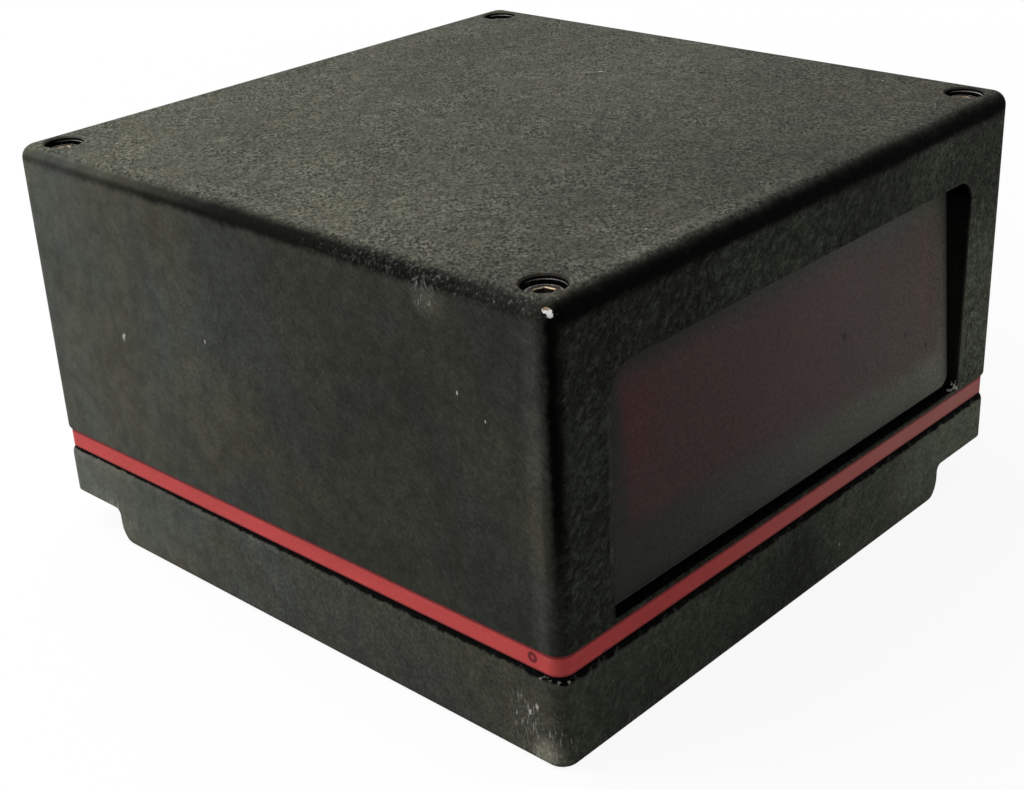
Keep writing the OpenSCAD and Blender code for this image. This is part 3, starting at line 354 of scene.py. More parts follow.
class CastingPaint(Finish):
    """Black wrinkled paint on a casting: dust in the grain, painted light and shade, painted dark
    reflections on the edges, and marks of use.

    dust holds its shares of dust and painted light on the top, the sides and the front. The edge
    switch is 1 where the edges are worn and painted dark as a reflection, else 0. grip is how strongly
    the front shows its grain.
    """

    def __init__(self, name, look, dust, marks, edge_reflection_and_wear, grip):
        super().__init__(bpy.data.materials.new(name))
        self.look = look
        self.dust = dust
        self.marks = marks
        self.edge_reflection_and_wear = edge_reflection_and_wear
        self.grip = grip
        self.find_places()
        self.make_patterns()
        # edge masks the painted dark reflections on the rounded edges.
        self.edge = self.dark_reflection_edges()
        self.body = self.dusty_paint()
        self.add_specks()
        self.add_scuffs()

    def lay(self, amount, tone):
        """Puts a colour over what is there."""
        self.body = self.mix(amount, self.body, tone)

    def find_places(self):
        """Which way a point faces, and how far it lies from the sides, the front and the roof."""
        self.x, self.y, self.z = self.axes(self.place())
        nx, ny, nz = self.facing()
        self.top = nz.rise(0.75, 0.98)
        self.walls = 1.0 - self.top
        self.front = (-ny).rise(0.5, 0.95)
        self.left = (-nx).rise(0.5, 0.9)
        self.side_x = COVER_HIGH.x - abs(self.x)
        self.side_y = COVER_HIGH.y - abs(self.y)
        self.under = ROOF - self.z
        self.near_front = self.y.rise(8.0, -8.0)
        self.near_left = self.x.rise(8.0, -8.0) * self.near_front

    def make_patterns(self):
        """Noises of the paint: grain and wrinkles, then smears, hues and clouds of dust."""
        x, y, z = self.x, self.y, self.z
        grain = self.look.grain_size / MM
        grit = self.vector(0.71 * (x - y), 0.45 * (x + y), z)
        slant = self.vector(0.55 * (x + z), 0.8 * (x - z), y)
        strokes = self.vector(0.35 * x + 0.15 * z, 0.7 * (y - z), 0.2 * (y + z))
        self.fine = self.noise(grain, 3.0, 0.65, grit)
        self.pits = self.noise(1.2 * grain, 2.0, 0.6, grit).rise(0.55, 0.66)
        self.hair = self.noise(0.7 * grain, 3.0, 0.6, strokes)
        self.lumps = self.noise(2.6 * grain, 3.0, 0.6, slant)
        self.wrinkle = abs(self.noise(3.4 * grain, 2.0, 0.5, slant, 0.7) - 0.5)
        self.peel = self.noise(3.0 * grain, 3.0, 0.55)
        self.ragged = self.noise(0.55, 3.0, 0.65)
        self.flaked = self.noise(0.9, 2.0, 0.6)
        self.smear = self.noise(7.0, 3.0, 0.6, self.stretched(1.0, 0.7, 0.5), 0.6)
        self.hue = self.noise(15.0, 3.0, 0.55, self.stretched(1.0, 1.0, 0.8), 0.3)
        self.clouds = self.noise(26.0, 3.0, 0.55)
        self.calm = 1.0 - 0.60 * y.rise(-10.0, 40.0) * self.walls
        self.uneven = self.calm * (0.70 + 0.60 * self.smear.rise(0.30, 0.70))

    def dark_reflection_edges(self):
        """1 where an edge is painted dark as a reflection: the near upright corner and the rims of the
        roof.
        """
        y = self.y
        rough_line = (self.peel - 0.5) * 1.1 + (self.smear - 0.5) * 0.9
        beside = self.side_x + rough_line
        before = self.side_y + rough_line
        below = self.under + rough_line
        # Painted dark reflections on the rounded edges: the near upright corner and the rims of the roof.
        corner = before.rise(1.7, 0.7) * beside.rise(3.0, 1.0)
        corner = corner * self.z.rise(14.0, 42.0) * (0.25 + 0.75 * self.near_left)
        front_rim = before.rise(2.3, 0.1) * below.rise(4.0, 2.5)
        side_rim = beside.rise(3.0, 0.5) * below.rise(3.0, 1.7)
        side_rim = side_rim * (0.62 + 0.28 * y.rise(44.0, 10.0)) * (0.66 + 0.34 * y.rise(-50.0, -34.0))
        side_rim = side_rim * (1.0 - 0.50 * self.ragged.rise(0.48, 0.60) * y.rise(-8.0, -30.0))
        side_rim = side_rim * (1.0 - 0.55 * self.under.rise(1.6, 0.8) * y.rise(0.0, 30.0))
        return corner.above(front_rim).above(side_rim) * self.edge_reflection_and_wear

    def dust_and_light_film(self):
        """How much dust lies on the paint, with painted light: its clouds, its drift over each face
        and its smudges.
        """
        x, y, top, front = self.x, self.y, self.top, self.front
        on_top, on_sides, on_front = self.dust
        # The roof's larger share also paints the sheen that it catches.
        film = on_sides + (on_top - on_sides) * top + (on_front - on_sides) * front
        film = film * (0.50 + 0.60 * self.clouds + 0.40 * self.smear)
        # Painted light: the walls lighter towards the back, and the roof darker towards the front.
        film = film * (1.0 + 1.40 * y.rise(-20.0, 60.0) * self.walls - 0.25 * y.rise(10.0, -56.0) * top)
        ridge = self.side_y.rise(5.5, 3.2) * self.side_y.rise(1.6, 2.6) * self.near_left * self.edge_reflection_and_wear
        film = film * (1.0 + 0.50 * ridge + (0.95 * x.rise(-15.0, 55.0) - 0.04) * front)
        # The roof darker along its front rim, and painted light on the roof growing towards the left.
        front_rim_darkening = 0.22 * self.side_y.rise(5.0, 2.4) * self.near_front
        film = film * (1.0 + (0.14 * x.rise(10.0, -56.0) - front_rim_darkening) * top)
        for point, reach, amount in self.marks["smudges"]:
            near = (self.distance(point) + (self.smear - 0.5) * reach).rise(reach, 0.2 * reach)
            film = film * (1.0 + amount * near * self.walls)
        return film

    def grained(self, film):
        """The film of dust and painted light broken up by the paint's grain, pits, strokes, lumps and
        creases, with painted shade in the creases.
        """
        top, front, calm = self.top, self.front, self.calm
        held = front * self.grip
        speckle = (self.fine.rise(0.30, 0.70) - 0.5) * (0.26 + 1.00 * top + 0.50 * held)
        film = film * (1.0 + speckle * self.uneven)
        film = film * (1.0 - self.pits * (0.10 + 0.46 * top + 0.36 * held) * self.uneven)
        film = film * (1.0 + (self.hair.rise(0.32, 0.68) - 0.5) * calm * (0.36 - 0.36 * top - 0.20 * front))
        lumpy = (self.lumps.rise(0.32, 0.68) - 0.5) * held
        film = film * (1.0 + lumpy * (0.30 + 0.40 * self.x.rise(45.0, -20.0)))
        torn = (self.ragged.rise(0.34, 0.70) - 0.45) * calm * self.walls
        film = film * (1.0 + torn * (0.40 - 0.26 * self.edge_reflection_and_wear))
        # Painted shade: the creases of the wrinkles darker.
        crease = self.wrinkle.rise(0.055, 0.005)
        film = film * (1.0 - crease * (0.10 + 0.20 * top + 0.45 * held) * (0.35 + self.smear))
        return film * (0.84 + 0.32 * self.noise(2.6, 3.0, 0.6).rise(0.30, 0.70))

    def dusty_paint(self):
        """Paint under its dust and painted light, whose hue drifts from place to place, with painted dark
        reflections on the edges.
        """
        look = self.look
        dusty = self.mix(self.hue.rise(0.38, 0.62), look.dust_colour, look.haze_colour)
        cool = self.hue.rise(0.40, 0.62) * self.walls * (0.6 - 0.4 * self.front)
        dusty = self.mix(cool, dusty, look.cool_colour)
        dusty = self.mix(self.front * 0.8, dusty, look.moss_colour)
        # The edges take the darkest paint as a painted dark reflection.
        paint_and_edge_reflection = self.mix(self.edge, look.paint_colour, look.shade_colour)
        return self.mix(self.grained(self.dust_and_light_film()) * (1.0 - self.edge), paint_and_edge_reflection, dusty)

    def add_specks(self):
        """Light specks in the grain, and a chafed stretch of the roof's left rim."""
        pick = self.axes(self.cells(1.5, 1))[0]
        spark = 0.25 * pick.rise(0.62, 0.66) + 0.45 * pick.rise(0.96, 0.97)
        spark = self.cells(1.5).rise(0.15, 0.07) * spark * (1.0 - self.edge)
        self.lay(spark * (0.14 + 0.86 * self.top) * self.uneven, self.look.speck_colour)
        chafe = self.side_x.above(self.under).rise(2.8, 1.4) * self.edge_reflection_and_wear
        chafe = chafe * self.y.rise(-4.0, -36.0) * self.x.rise(0.0, -10.0)
        chafe = chafe * (self.ragged * 0.6 + self.fine * 0.4).rise(0.57, 0.66)
        self.lay(chafe * 0.22, self.look.speck_colour)

    def add_scuffs(self):
        """Scuffs drawn out along the height, and single light flecks."""
        streak = self.noise(0.30, 3.0, 0.65, self.stretched(0.8, 1.0, 0.16), 0.25).rise(0.56, 0.72)
        scraped = streak * 0.90 + self.ragged.rise(0.40, 0.72) * 0.08
        for point, reach in self.marks["scuffs"]:
            near = (self.distance(point) + (self.smear - 0.5) * (1.4 * reach)).rise(reach, 0.15 * reach)
            self.lay(near * scraped, self.look.speck_colour)
        for point, reach in self.marks["flecks"]:
            near = self.distance(point, (1.0, 1.0, 0.55)) + (self.ragged - 0.5) * (2.6 * reach)
            self.lay(near.rise(reach, 0.4 * reach) * 0.8, self.look.speck_colour)

    def add_shoulder(self, height):
        """Painted shade under the gasket, down to a ragged line, with a pale fringe at the near corner."""
        line = height + 0.5 * self.left + 0.35 * self.front + 0.5 * self.y.rise(-25.0, 50.0)
        # lip is the painted shade under the gasket.
        lip = (self.z - line + 0.9 * (self.peel - 0.5) + 0.9 * (self.ragged - 0.5)).rise(-0.15, 0.30)
        self.lay(lip, self.look.shade_colour)
        fringe = lip * (self.z - line).rise(1.1, 0.3) * self.near_left
        fringe = fringe * self.side_x.above(self.side_y).rise(9.0, 3.0)
        self.lay(fringe * self.noise(0.9, 3.0, 0.65).rise(0.56, 0.66) * 0.6, self.look.speck_colour)

    def add_window_recess(self):
        """Painted shade on the walls round the pane, and a thin painted highlight along their left rim."""
        x, y, z = self.x, self.y, self.z
        x0, x1 = PANE_LOW.x - 0.2, PANE_HIGH.x + 0.2
        z0, z1 = PANE_LOW.z - 0.6, PANE_HIGH.z + 0.3
        # A thin painted highlight along the opening's left rim.
        rim = x.rise(x0 - 1.0, x0 - 0.5) * x.rise(x0 + 0.2, x0 - 0.2)
        rim = rim * z.rise(z0 + 4.0, z0 + 10.0) * z.rise(z1 - 2.0, z1 - 7.0)
        self.lay(rim * self.front * 0.10, self.look.dust_colour)
        # Painted shade on the walls round the pane.
        within = x.rise(x0 - 0.3, x0 + 0.1) * x.rise(x1 + 0.3, x1 - 0.1)
        within = within * z.rise(z0 - 0.3, z0) * z.rise(z1 + 0.3, z1)
        self.lay(within * y.rise(FRONT + 0.05, FRONT + 0.5) * self.near_front, self.look.shade_colour)

    def add_screw_holes(self):
        """Rust round the counterbores, painted shade on the walls in them, and a bright burr below their
        rim.
        """
        bore = from_screw(self.x, self.y)
        ring = bore.rise(BORE_R + 0.75, BORE_R + 0.25) * self.under.rise(2.0, 1.0)
        self.lay(ring * self.ragged.rise(0.46, 0.64) * 0.30, self.look.rust_colour)
        # Painted shade on the walls of the bores.
        wall = bore.rise(BORE_R + 0.40, BORE_R + 0.15)
        self.lay(wall * self.under.rise(0.12, 0.35), self.look.shade_colour)
        burr = wall * self.under.rise(0.56, 0.62) * self.under.rise(0.76, 0.70)
        self.lay(burr * self.smear.rise(0.42, 0.60) * 0.7, self.look.metal_colour)

    def finished(self):
        """The material, with its paint chipped down to old and bare metal."""
        worn = 0.0
        for point, reach in self.marks["chips"]:
            near = self.distance(point) + (self.flaked - 0.5) * (3.4 * reach)
            worn = near.rise(reach, 0.8 * reach).above(worn)
        old_metal = (self.under + 1.2 * (self.flaked - 0.5)).rise(0.7, 1.0)
        self.lay(worn, self.mix(old_metal, self.look.stain_colour, self.look.metal_colour))
        rough = 0.62 + 0.06 * self.edge - 0.18 * worn + 0.20 * (self.fine - 0.5)
        relief = self.fine * 0.45 + self.peel * 0.30 + self.wrinkle.rise(0.0, 0.12) * 0.25
        relief = relief + self.lumps * 0.5 * self.front
        relief = relief * (0.32 * self.calm + 0.60 * self.front + 0.45 * self.top)
        gleam = self.lumps.rise(0.55, 0.70) * (0.02 + 0.18 * self.front) * (1.0 - self.edge)
        return self.surface(Base_Color=self.body, Roughness=rough, Metallic=worn * 0.8,
                            Coat_Weight=gleam, Coat_Roughness=0.3, Specular_IOR_Level=0.015,
                            Normal=self.bump(relief - 0.4 * worn, 0.20))


# Finishes of the other pieces

def silicone(name, look):
    """Red silicone: dusty bloom, painted shade along its seams, a dark knot, a few dark flecks."""
    f = finish(name)
    x, _, z = f.axes(f.place())
    bloom = f.noise(14.0, 3.0, 0.6)
    fine = f.noise(0.45, 3.0, 0.65)
    streak = f.noise(1.6, 2.0, 0.5, f.stretched(0.25, 0.25, 1.6))
    body = f.tint(look.gasket_colour, 0.74 + 0.30 * bloom + 0.20 * streak)
    grey = x.rise(-40.0, 45.0) * 0.36 + fine.rise(0.52, 0.74) * 0.14
    body = f.mix(grey * (0.5 + bloom), body, GASKET_DUST)
    # Painted shade along the top and bottom seams, where the cover and the base meet the gasket.
    seam_shade = (GASKET_HIGH.z - z + 0.25 * (fine - 0.5)).rise(0.55, 0.25)
    seam_shade = seam_shade.above((z - GASKET_LOW.z).rise(0.35, 0.10))
    body = f.mix(seam_shade * 0.85, body, look.gasket_shade_and_knot_colour)
    knot = f.distance(GASKET_KNOT)
    body = f.mix(knot.rise(0.95, 0.70) * (0.35 + 0.65 * knot.rise(0.20, 0.45)), body, look.gasket_shade_and_knot_colour)
    grime = f.noise(2.6, 3.0, 0.6).rise(0.71, 0.75)
    body = f.mix(grime * 0.5, body, GASKET_GRIME)
    return f.surface(Base_Color=body, Roughness=0.66 + 0.20 * (fine - 0.5),
                     Normal=f.bump(fine * 0.6 + streak * 0.4, 0.035), Specular_IOR_Level=0.2)


def filter_pane(name, look):
    """Dark red filter pane: hazy, redder where the housing is open behind it, grey over its seal, with
    painted light growing to the right and to the bottom, a painted red glow and a painted edge highlight.
    """
    f = finish(name)
    x, _, z = f.axes(f.place())
    cloud = f.noise(15.0, 3.0, 0.55)
    wipe = f.noise(4.0, 3.0, 0.6, f.stretched(0.5, 1.0, 1.0), 0.4)
    ragged = f.noise(1.1, 3.0, 0.6)
    fine = f.noise(0.5, 2.0, 0.6)
    wobble = (cloud - 0.5) * 6.0 + (wipe - 0.5) * 3.0 + (ragged - 0.5) * 1.6
    from_left = x - PANE_LOW.x + 0.5 * wobble
    from_right = PANE_HIGH.x - x
    right = x.rise(PANE_LOW.x - 10.0, PANE_HIGH.x + 10.0)
    low = z - PANE_LOW.z + wobble - 4.5 * (1.0 - right)
    high = PANE_HIGH.z - z + 0.6 * wobble
    open_behind = from_left.rise(5.0, 8.3) * from_right.rise(1.0, 5.0)
    open_behind = open_behind * low.rise(4.0, 8.5) * high.rise(3.6, 7.5)
    # Painted light: the border lighter towards the bottom and much lighter towards the right.
    painted_light_low = 1.20 - 0.42 * z.rise(PANE_LOW.z, PANE_HIGH.z)
    border = f.tint(look.pane_border, (0.80 + 2.3 * right) * painted_light_low)
    tone = f.mix(open_behind, border, f.mix(right, look.pane_glow, look.pane_colour))
    # A painted red glow in the pane's left part.
    red_glow = (f.distance(PANE_GLOW_SPOT) + (wipe - 0.5) * 14.0).rise(12.0, 2.0)
    tone = f.mix(red_glow * open_behind * 0.32, tone, look.glow_patch_colour)
    grain = 0.52 * (fine.rise(0.34, 0.66) - 0.5)
    tone = f.tint(tone, 0.80 + 0.30 * cloud + 0.34 * wipe + grain)
    # Painted light: the pane lighter towards the right, and more so near its right edge.
    tone = f.tint(tone, (0.88 + 0.66 * right) * (1.0 + 0.45 * from_right.rise(12.0, 1.0)))
    for point, reach in PANE_FLECKS:
        fleck = (f.distance(point) + (ragged - 0.5) * 1.6).rise(reach, 0.3 * reach)
        tone = f.mix(fleck * 0.75, tone, PANE_FLECK_TONE)
    tone = f.mix(fine.rise(0.66, 0.82) * 0.07, tone, look.speck_colour)
    # A painted highlight along the pane's edges.
    rim = (PANE_HIGH.x - abs(x)).rise(0.45, 0.15).above((z - PANE_LOW.z).rise(0.45, 0.15))
    tone = f.mix(rim * 0.6, tone, PANE_EDGE_HIGHLIGHT)
    return f.surface(Base_Color=tone, Roughness=0.34 + 0.18 * wipe, Alpha=0.92 + 0.06 * cloud,
                     Normal=f.bump(wipe * 0.6 + fine * 0.4, 0.012), Specular_IOR_Level=0.12)


def moulded(name, tone, roughness=0.5, grain=0.3):
    """Moulded plastic or rubber: fine grain, a little bloom, scuffs on the edges."""
    f = finish(name)
    fine = f.noise(grain, 3.0, 0.6)
    bloom = f.noise(6.0, 3.0, 0.55)
    scuff = f.noise(1.4, 4.0, 0.65, None, 0.8).rise(0.60, 0.74)
    body = f.tint(tone, 0.78 + 0.30 * bloom + 0.14 * fine)
    pale = tuple(0.5 * c + 0.10 for c in tone)
    body = f.mix(scuff * 0.25, body, pale)
    return f.surface(Base_Color=body, Roughness=roughness + 0.16 * (fine - 0.5) + 0.10 * scuff,
                     Normal=f.bump(fine, 0.03), Specular_IOR_Level=0.4)


def bare_metal(name, tone, roughness, along, stain):
    """Plain or plated metal: tool marks along one way, stains and small scratches."""
    f = finish(name)
    marks = f.noise(0.35, 3.0, 0.6, f.stretched(*along))
    tarnish = f.noise(4.0, 4.0, 0.6, None, 0.5)
    scratch = f.noise(0.8, 2.0, 0.5, f.stretched(1.0, 0.12, 0.5), 1.2).rise(0.66, 0.72)
    body = f.tint(tone, 0.76 + 0.36 * marks)
    dark = tuple(0.30 * c for c in tone)
    body = f.mix(tarnish.rise(0.52, 0.74) * stain, body, dark)
    dulled = 0.22 * tarnish.rise(0.50, 0.75) * stain
    return f.surface(Base_Color=body, Metallic=1.0,
                     Roughness=roughness + 0.20 * (marks - 0.5) + dulled + 0.08 * scratch,
                     Normal=f.bump(marks + scratch, 0.012))


def blackened_steel(name, look):
    """Blackened screws: worn rims, and rust in patches."""
    f = finish(name)
    x, y, _ = f.axes(f.place())
    nx, ny, nz = f.facing()
    rim = abs(nz).above(span(nx, ny)).rise(0.985, 0.86)
    fine = f.noise(0.3, 3.0, 0.6)
    patch = f.noise(1.3, 4.0, 0.65)
    body = f.tint(look.screw_colour, 0.5 + fine)
    rust = patch.rise(0.50, 0.64) * 0.70 * (1.0 - 0.7 * rim)
    body = f.mix(rust, body, f.mix(fine.rise(0.35, 0.7), DARK_RUST, LIGHT_RUST))
    outer = from_screw(x, y).rise(2.05, 2.25)
    bright = (rim * 0.7).above(outer * 0.9) * fine.rise(0.34, 0.52)
    body = f.mix(bright, body, f.mix(outer, RUBBED_STEEL, look.metal_colour))
    return f.surface(Base_Color=body, Metallic=(0.75 - 0.55 * rust).above(bright),
                     Roughness=0.48 + 0.30 * rust - 0.15 * bright,
                     Normal=f.bump(fine + patch, 0.03))


def solder_mask(name, pitch):
    """Circuit board: green mask over traces, tinned pads and a woven edge."""
    f = finish(name)
    flat = abs(f.facing()[2])
    grid = f.cells(2.4 * pitch, 0, f.stretched(1.0, 0.35, 1.0), "DISTANCE_TO_EDGE")
    cross = f.cells(3.1 * pitch, 0, f.stretched(0.4, 1.0, 1.0), "DISTANCE_TO_EDGE")
    trace = grid.rise(0.10, 0.06).above(cross.rise(0.08, 0.045))
    chosen = f.axes(f.cells(2.0 * pitch, 1))[0].rise(0.55, 0.57)
    pad = f.cells(2.0 * pitch).rise(0.16, 0.13) * chosen * flat.rise(0.9, 0.97)
    bloom = f.noise(12.0, 3.0, 0.55)
    body = f.tint(BOARD_GREEN, 0.70 + 0.50 * bloom)
    body = f.mix(trace * 0.55, body, TRACE_GREEN)
    weave = f.noise(0.25, 2.0, 0.5, f.stretched(0.3, 0.3, 3.0))
    body = f.mix(flat.rise(0.7, 0.3), body, f.mix(weave, *BOARD_WEAVE))
    body = f.mix(pad, body, SOLDER)
    return f.surface(Base_Color=body, Roughness=0.34 + 0.10 * bloom - 0.08 * pad, Metallic=pad,
                     Normal=f.bump(trace * 0.6 + pad, 0.03))


def wound_copper(name):
    """Flat coil of enamelled wire: turns and layers painted as rings of light and shade, varnish in
    patches.
    """
    f = finish(name)
    x, y, z = f.axes(f.place())
    middle = (WHEEL_LOW + WHEEL_HIGH) / 2
    turns = (span(x - middle.x, y - middle.y) * COIL_WAVE).wave()
    layers = (z * COIL_WAVE).wave()
    varnish = f.noise(2.0, 3.0, 0.6)
    # Painted light and shade: each turn and layer lighter on its crest and darker between.
    body = f.tint(COPPER, 0.62 + 0.20 * turns + 0.16 * layers + 0.30 * varnish)
    body = f.mix(varnish.rise(0.55, 0.7) * 0.5, body, COIL_VARNISH)
    return f.surface(Base_Color=body, Metallic=0.85, Roughness=0.30 + 0.22 * varnish,
                     Normal=f.bump(turns + layers, 0.02))


def coated_mirror(name):
    """Front-surface mirror: faint dust and wipe marks."""
    f = finish(name)
    wipe = f.noise(3.0, 3.0, 0.6, f.stretched(0.4, 1.0, 1.0), 0.6)
    dust = f.noise(0.5, 3.0, 0.6).rise(0.66, 0.80)
    body = f.tint(MIRROR_SILVER, 0.92 + 0.10 * wipe)
    body = f.mix(dust * 0.20, body, MIRROR_DUST)
    return f.surface(Base_Color=body, Metallic=1.0 - 0.25 * dust,
                     Roughness=0.04 + 0.06 * wipe + 0.20 * dust)


def lens_glass(name):
    """Clear moulded lens with a soft haze."""
    f = finish(name)
    haze = f.noise(2.0, 3.0, 0.6)
    body = f.mix(haze, CLEAR_GLASS, HAZY_GLASS)
    return f.surface(Base_Color=body, Roughness=0.03 + 0.05 * haze, Transmission_Weight=0.9, IOR=1.5)


# Meshes

def lathe(bm, rings, place, closed=False):
    """Skin over rings of (height, radius by angle), carried to its place; open ends get a cap."""
    rows = []
    for height, radius in rings:
        row = []
        for k in range(TURN_STEPS):
            turn = 2.0 * math.pi * k / TURN_STEPS
            reach = radius(turn, height)
            point = Vector((reach * math.cos(turn), reach * math.sin(turn), height))
            row.append(bm.verts.new(place @ point))
        rows.append(row)
    pairs = list(zip(rows, rows[1:]))
    if closed:
        pairs.append((rows[-1], rows[0]))
    for low, high in pairs:
        for k in range(TURN_STEPS):
            n = (k + 1) % TURN_STEPS
            bm.faces.new((low[k], low[n], high[n], high[k]))
    if not closed:
        bm.faces.new(list(reversed(rows[0])))
        bm.faces.new(rows[-1])


def round_at(radius):
    """Radius that is the same all round."""
    return lambda turn, height: radius


def hexagon(across, start):
    """Radius of a hexagon of that width across flats."""
    sixth = math.pi / 3.0
    return lambda turn, height: 0.5 * across / math.cos((turn + start) % sixth - sixth / 2.0)


def knurl(radius, depth, teeth):
    """Radius of a rim with rounded teeth."""
    return lambda turn, height: radius - depth * (0.5 + 0.5 * math.cos(teeth * turn)) ** 1.5


def thread(radius, depth, pitch):
    """Radius of a screw thread with flattened crests and roots."""
    def at(turn, height):
        phase = (height / pitch - turn / (2.0 * math.pi)) % 1.0
        ramp = abs(2.0 * phase - 1.0)
        return radius - depth * min(1.0, max(0.0, 1.25 * ramp - 0.125))
    return at


def thread_rings(high, low, pitch, screw):
    """Rings of a thread from its high end down to its low one."""
    count = int((high - low) / pitch * RINGS_PER_PITCH)
    return [(high - k * pitch / RINGS_PER_PITCH, screw) for k in range(count)]


def mesh_piece(name, bm, material):
    """Turns a mesh built in millimetres into a piece that rides on the housing."""
    bm.transform(Matrix.Scale(MM, 4))
    bmesh.ops.recalc_face_normals(bm, faces=bm.faces)
    mesh = bpy.data.meshes.new(name)
    bm.to_mesh(mesh)
    bm.free()
    mesh.materials.append(material)
    for face in mesh.polygons:
        face.use_smooth = True
    mesh.set_sharp_from_angle(angle=SHARP_ANGLE)
    piece = bpy.data.objects.new(name, mesh)
    bpy.context.scene.collection.objects.link(piece)
    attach(piece, "housing")
    return piece


# Settings

COLOUR = {"subtype": "COLOR", "size": 3, "min": 0.0, "max": 1.0}
SHARES = {"subtype": "XYZ", "size": 3, "min": 0.0, "max": 1.0}
LENGTH = {"subtype": "DISTANCE", "unit": "LENGTH", "precision": 5}
ANGLE = {"subtype": "ANGLE", "unit": "ROTATION"}


class HousingLook(PropertyGroup):
    """Finish of the castings, the gasket, the pane and the screws."""

    paint_colour: FloatVectorProperty(
        name="Paint", description="Black paint of the castings",
        default=(0.0024, 0.0028, 0.0023), **COLOUR)
    # Darkest paint: painted shade in the recess, in the screw holes and under the gasket, and painted dark
    # reflections on the edges.
    shade_colour: FloatVectorProperty(
        name="Shaded paint", description="Clean paint in the recess and under the gasket",
        default=(0.0008, 0.0008, 0.0007), **COLOUR)
    dust_colour: FloatVectorProperty(
        name="Dust", description="Dust that lies in the grain of the paint",
        default=(0.193, 0.193, 0.148), **COLOUR)
    haze_colour: FloatVectorProperty(
        name="Haze", description="Cooler haze between the dusty patches",
        default=(0.180, 0.183, 0.146), **COLOUR)
    cool_colour: FloatVectorProperty(
        name="Cool haze", description="Bluish haze on the upright faces",
        default=(0.166, 0.180, 0.164), **COLOUR)
    moss_colour: FloatVectorProperty(
        name="Green haze", description="Greenish haze on the window side",
        default=(0.172, 0.196, 0.144), **COLOUR)
    # These shares of the dusty film also carry painted light: the roof's larger share stands in for its
    # sheen.
    cover_dust_and_light: FloatVectorProperty(
        name="Cover dust", description="Share of dust on the cover's top, sides and front",
        default=(0.462, 0.178, 0.138), **SHARES)
    base_dust_and_light: FloatVectorProperty(
        name="Base dust", description="Share of dust on the base's top, sides and front",
        default=(0.300, 0.272, 0.300), **SHARES)
    grain_size: FloatProperty(
        name="Grain", description="Width of the paint's finest grain",
        default=0.00046, min=0.0001, max=0.002, **LENGTH)
    speck_colour: FloatVectorProperty(
        name="Specks", description="Light specks on the paint and the pane",
        default=(0.46, 0.45, 0.41), **COLOUR)
    metal_colour: FloatVectorProperty(
        name="Bare metal", description="Metal where the paint is chipped",
        default=(0.62, 0.61, 0.58), **COLOUR)
    stain_colour: FloatVectorProperty(
        name="Stained metal", description="Old metal at the rim of a chip",
        default=(0.20, 0.15, 0.10), **COLOUR)
    rust_colour: FloatVectorProperty(
        name="Rust", description="Rust round the screw holes",
        default=(0.120, 0.062, 0.028), **COLOUR)
    gasket_colour: FloatVectorProperty(
        name="Gasket", description="Red silicone of the gasket",
        default=(0.500, 0.058, 0.056), **COLOUR)
    # Darker red for the painted shade along the gasket's seams and for its dark knot.
    gasket_shade_and_knot_colour: FloatVectorProperty(
        name="Pressed gasket", description="Gasket where the castings press on it",
        default=(0.130, 0.012, 0.016), **COLOUR)
    pane_colour: FloatVectorProperty(
        name="Pane", description="Red filter over the opening",
        default=(0.058, 0.044, 0.039), **COLOUR)
    pane_glow: FloatVectorProperty(
        name="Pane at left", description="Redder part of the pane",
        default=(0.044, 0.022, 0.020), **COLOUR)
    # Colour of the painted red glow on the pane.
    glow_patch_colour: FloatVectorProperty(
        name="Pane patch", description="Reddest patch of the pane",
        default=(0.085, 0.016, 0.018), **COLOUR)
    pane_border: FloatVectorProperty(
        name="Pane border", description="Pane over its dark seal",
        default=(0.0212, 0.0210, 0.0172), **COLOUR)
    screw_colour: FloatVectorProperty(
        name="Screws", description="Blackened steel of the cover screws",
        default=(0.024, 0.022, 0.020), **COLOUR)


class FastenerLook(PropertyGroup):
    """Sizes of the screws, the connector's thread and their knurls."""

    screw_width: FloatProperty(
        name="Screw", description="Diameter of a cover screw's shank",
        default=0.003, min=0.001, max=0.006, **LENGTH)
    head_height: FloatProperty(
        name="Head height", description="Height of a cover screw's head",
        default=0.003, min=0.001, max=0.006, **LENGTH)
    socket_width: FloatProperty(
        name="Socket", description="Width across flats of a cover screw's socket",
        default=0.0025, min=0.001, max=0.004, **LENGTH)
    thread_width: FloatProperty(
        name="Thread", description="Diameter of the connector's thread",
        default=0.016, min=0.008, max=0.03, **LENGTH)
    thread_pitch: FloatProperty(
        name="Thread pitch", description="Pitch of the connector's thread",
        default=0.001, min=0.0005, max=0.002, **LENGTH)
    thread_depth: FloatProperty(
        name="Thread depth", description="Depth of the connector's thread",
        default=0.00055, min=0.0001, max=0.001, **LENGTH)
    flange_teeth: IntProperty(
        name="Flange teeth", description="Serrations round the connector's flange",
        default=48, min=12, max=96)
    head_teeth: IntProperty(
        name="Head teeth", description="Knurls round a screw head", default=36, min=12, max=72)


